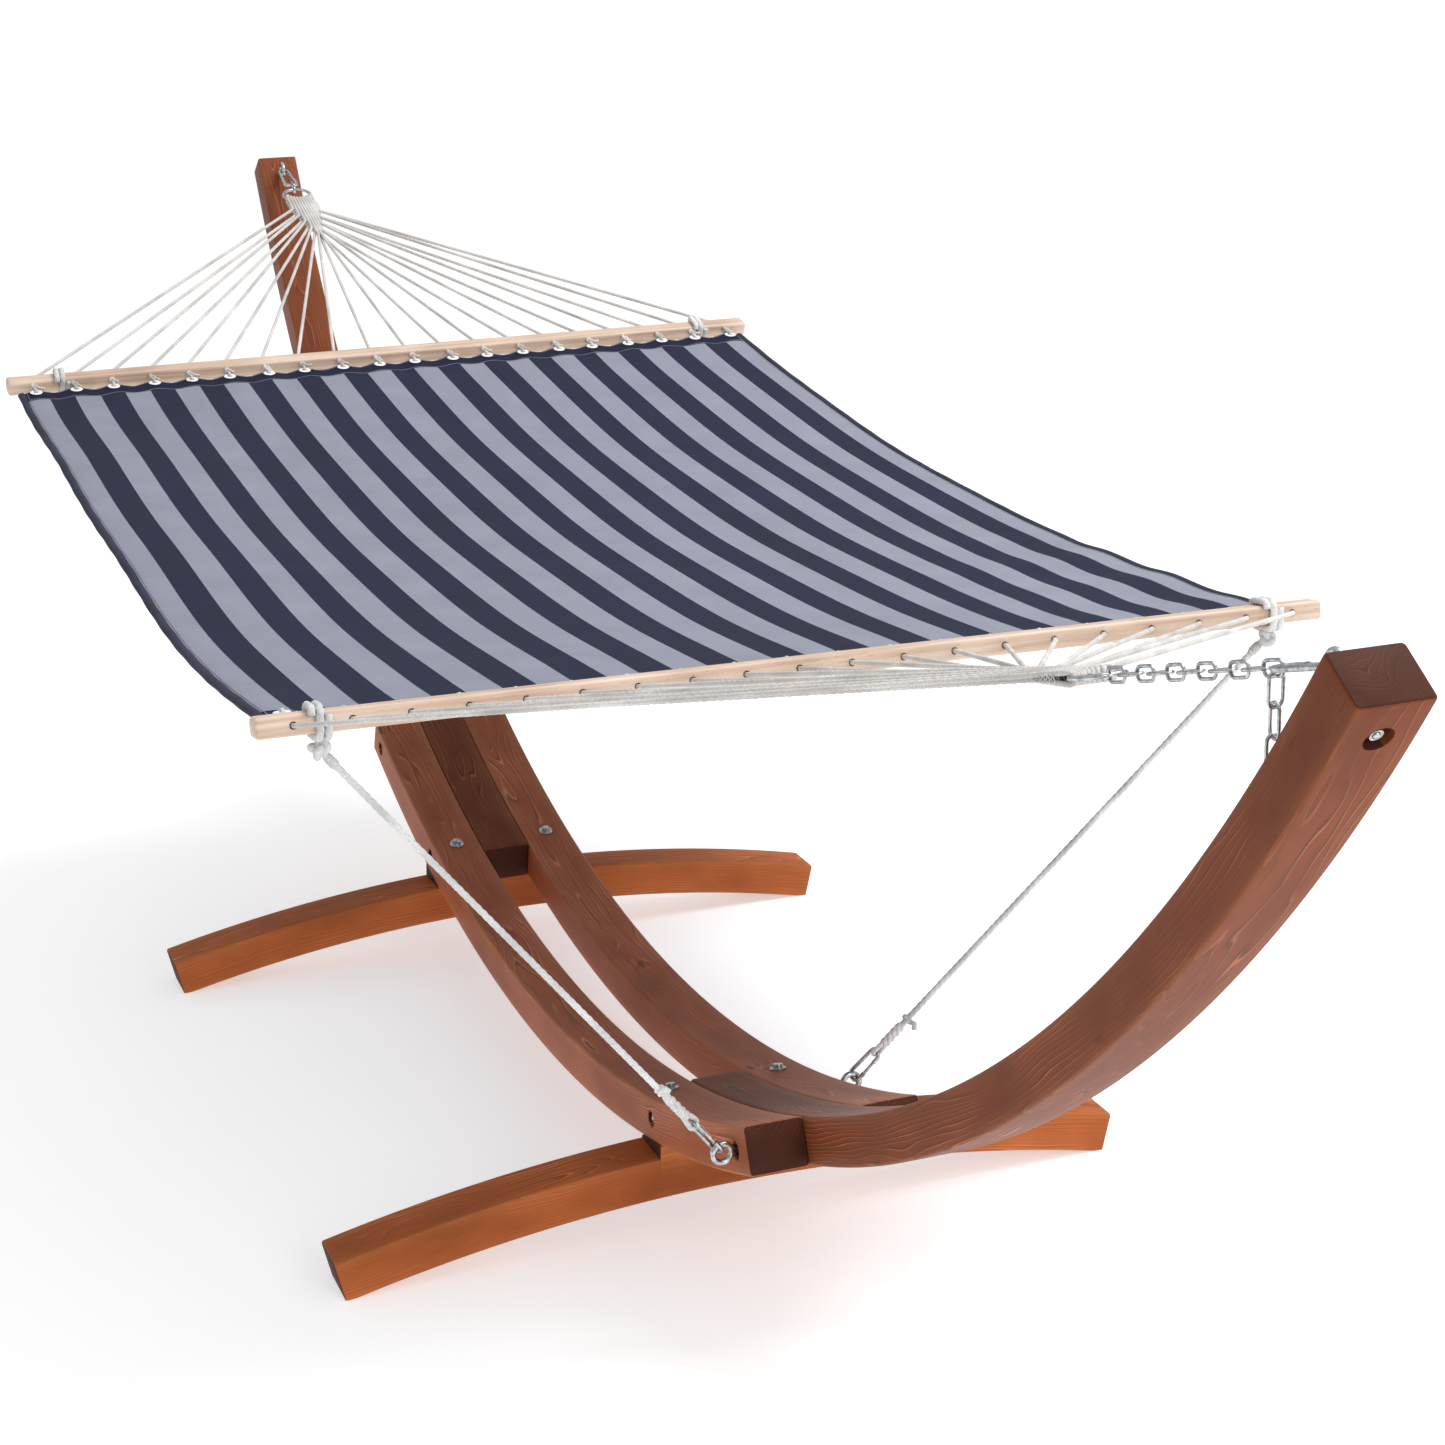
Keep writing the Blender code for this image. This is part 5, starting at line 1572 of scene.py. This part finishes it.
for hand, side, degree, eye_y in TIE_EYES:
    eye = on_arc(degree, ARC_MID, eye_y)
    knot = near_centre - near_thick * (BAR_THICK / 2 + 0.020) + near_side * side * TIE_Y
    way = unit(knot - eye)
    level = unit(ALONG - way * way[0])
    across = level * np.cos(TIE_HOOK_TURN) + np.cross(way, level) * np.sin(TIE_HOOK_TURN)
    eye_top = eye + unit(np.array((0.0, way[1], way[2]))) * EYE_MID
    hook_from = eye_top - way * (EYE_ROD + TIE_HOOK_ROD + 2 * CLEAR)
    add_hook(
        f"{hand}_tie",
        "stand",
        f"{hand}_tie_gate",
        hook_from,
        way,
        across,
        TIE_HOOK_LENGTH,
        TIE_HOOK_SMALL,
        TIE_HOOK_BIG,
        TIE_HOOK_ROD,
        TIE_GATE_ROOM,
    )
    apex = hook_from + way * TIE_HOOK_LENGTH
    top = apex + way * (TIE_HOOK_ROD + CLEAR)
    normal = np.cross(way, across)
    run = np.linalg.norm(knot - top)
    low_knot = top + way * 0.064
    t = np.linspace(-0.3, np.pi + 0.3, 30)
    bend = apex + 0.0066 * (np.cos(t)[:, None] * normal - np.sin(t)[:, None] * way)
    leg = top + way * 0.016
    legs = np.concatenate([[leg + normal * 0.003], bend, [leg - normal * 0.003]])
    legs = route(legs, 0.0012, 0.004)
    loop = tube(legs, LOOP_R, 12, facing=across, lobes=STRANDS, pitch=CORD_LAY, depth=STRAND_DEPTH)
    at = np.linspace(0.008, 0.054, 60)
    thick_part = top + way * at[:, None]
    swell = SPLICE_R * np.interp(at, [0.008, 0.013, 0.046, 0.054], [0.75, 1.0, 1.0, 0.72])
    splice = tube(thick_part, swell, 18, facing=across, lobes=4, pitch=0.042, depth=0.14)
    small_knot = tube(trefoil(low_knot, SMALL_KNOT, way), SMALL_KNOT_ROD, 10, closed=True, facing=way)
    tail_from = low_knot + across * 0.004
    tail_over = tail_from + across * 0.010 + way * 0.006
    tail = route(np.array([tail_from, tail_over, tail_from + across * 0.016]), 0.0015, 0.006)
    tail = tube(tail, LOOP_R, 10, facing=way, lobes=STRANDS, pitch=CORD_LAY, depth=STRAND_DEPTH)
    lower = piece(
        f"{hand}_rope_splice",
        [loop, splice, small_knot, tail],
        polyester_rope,
        "stand",
        f"{hand}_tie_rope",
        slot="white_rope",
        sharp=180,
    )
    path = top + way * np.linspace(0.050, run - 0.004, 400)[:, None]
    rope = piece(
        f"{hand}_tie_line",
        [tube(path, ROPE_R, 12, facing=ALONG, lobes=STRANDS, pitch=ROPE_LAY, depth=STRAND_DEPTH)],
        polyester_rope,
        None,
        f"{hand}_tie_rope",
        slot="white_rope",
        sharp=180,
    )
    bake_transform(rope)
    big = knot + way * 0.001
    big_axis = unit(way + 0.3 * ALONG)
    under_bar = near_centre + near_side * side * TIE_Y - near_thick * 0.016
    lobes = [
        tube(trefoil(big, BIG_KNOT, big_axis), BIG_KNOT_ROD, 12, closed=True, facing=big_axis),
        tube(
            route(np.array([big, big + near_thick * 0.010, under_bar]), 0.0015, 0.004),
            ROPE_R,
            12,
            facing=ALONG,
            lobes=STRANDS,
            pitch=ROPE_LAY,
            depth=STRAND_DEPTH,
        ),
    ]
    band = np.linspace(run - 0.030, run - 0.012, 30)
    grip = GRIP_R * np.interp(band - band[0], [0, 0.003, 0.015, 0.018], [0.78, 1.0, 1.0, 0.8])
    lobes.append(tube(top + way * band[:, None], grip, 16, facing=ALONG, lobes=2, pitch=0.007, depth=0.12))
    lobes.append(bar_wraps(near_centre, near_wide, near_thick, side * TIE_Y, near_side))
    upper = piece(
        f"{hand}_bar_knot",
        lobes,
        polyester_rope,
        "hammock",
        f"{hand}_tie_rope",
        slot="white_rope",
        sharp=180,
    )
    piece(
        f"far_{hand}_bar_wraps",
        [bar_wraps(far_centre, far_wide, far_thick, side * (TIE_Y - 0.02), ACROSS)],
        polyester_rope,
        "hammock",
        f"far_{hand}_bar_loop",
        slot="white_rope",
        sharp=180,
    )
    print(hand, "tie rope", round(path_length(path), 3), "m between its knots")

# %% [markdown]
# ## Studio
# A plain pale floor under a bright sky, and one large soft lamp high on the right of the bed, so that
# faint shadows fall to the left. A weaker lamp beyond the chain end lights the faces that look that
# way. The floor gives off a little light of its own. The sky is darker near the horizon, so that metal
# has something to reflect and the sides of the timber keep their colour.

# %% Floor and lights
FLOOR = 60.0
FLOOR_Z = -0.0006
floor_mesh = bpy.data.meshes.new("floor")
floor_mesh.from_pydata(
    [(x * FLOOR, y * FLOOR, FLOOR_Z) for x, y in ((-1, -1), (1, -1), (1, 1), (-1, 1))],
    [],
    [(0, 1, 2, 3)],
)
floor = bpy.data.objects.new("floor", floor_mesh)
bpy.context.scene.collection.objects.link(floor)
floor_paint, _, floor_shader = new_material("studio_floor", 0.9)
floor_shader.inputs["Base Color"].default_value = (0.78, 0.78, 0.78, 1.0)
floor_shader.inputs["Specular IOR Level"].default_value = 0.1
floor_shader.inputs["Emission Color"].default_value = (1.0, 1.0, 1.0, 1.0)
floor_shader.inputs["Emission Strength"].default_value = 0.47
floor_mesh.materials.append(floor_paint)

world = bpy.data.worlds.new("studio")
bpy.context.scene.world = world
world.use_nodes = True
sky = world.node_tree
around = add(sky, "TexCoord")
up_part = add(sky, "SeparateXYZ", {"Vector": around.outputs["Generated"]})
glow = add(
    sky,
    "ValToRGB",
    {"Fac": up_part.outputs["Z"]},
    stops=[(0.0, (0.50, 0.50, 0.51, 1.0)), (0.35, (0.75, 0.75, 0.76, 1.0)), (0.75, (1.0, 1.0, 1.0, 1.0))],
)
background = sky.nodes["Background"]
sky.links.new(glow.outputs["Color"], background.inputs["Color"])
background.inputs["Strength"].default_value = 0.76
bpy.context.scene.view_settings.view_transform = "Standard"


def soft_lamp(name, place, target, size, power):
    """A square area lamp that looks at a point."""
    data = bpy.data.lights.new(name, "AREA")
    data.size = size
    data.energy = power
    made = bpy.data.objects.new(name, data)
    aim = (Vector(target) - Vector(place)).to_track_quat("-Z", "Y").to_matrix().to_4x4()
    made.matrix_world = Matrix.Translation(place) @ aim
    bpy.context.scene.collection.objects.link(made)
    return made


soft_lamp("key_lamp", (0.6, 2.4, 5.2), (0.2, 0.0, 0.2), 2.6, 200.0)
soft_lamp("front_lamp", (5.5, 0.8, 2.6), (0.8, 0.0, 0.4), 2.5, 65.0)
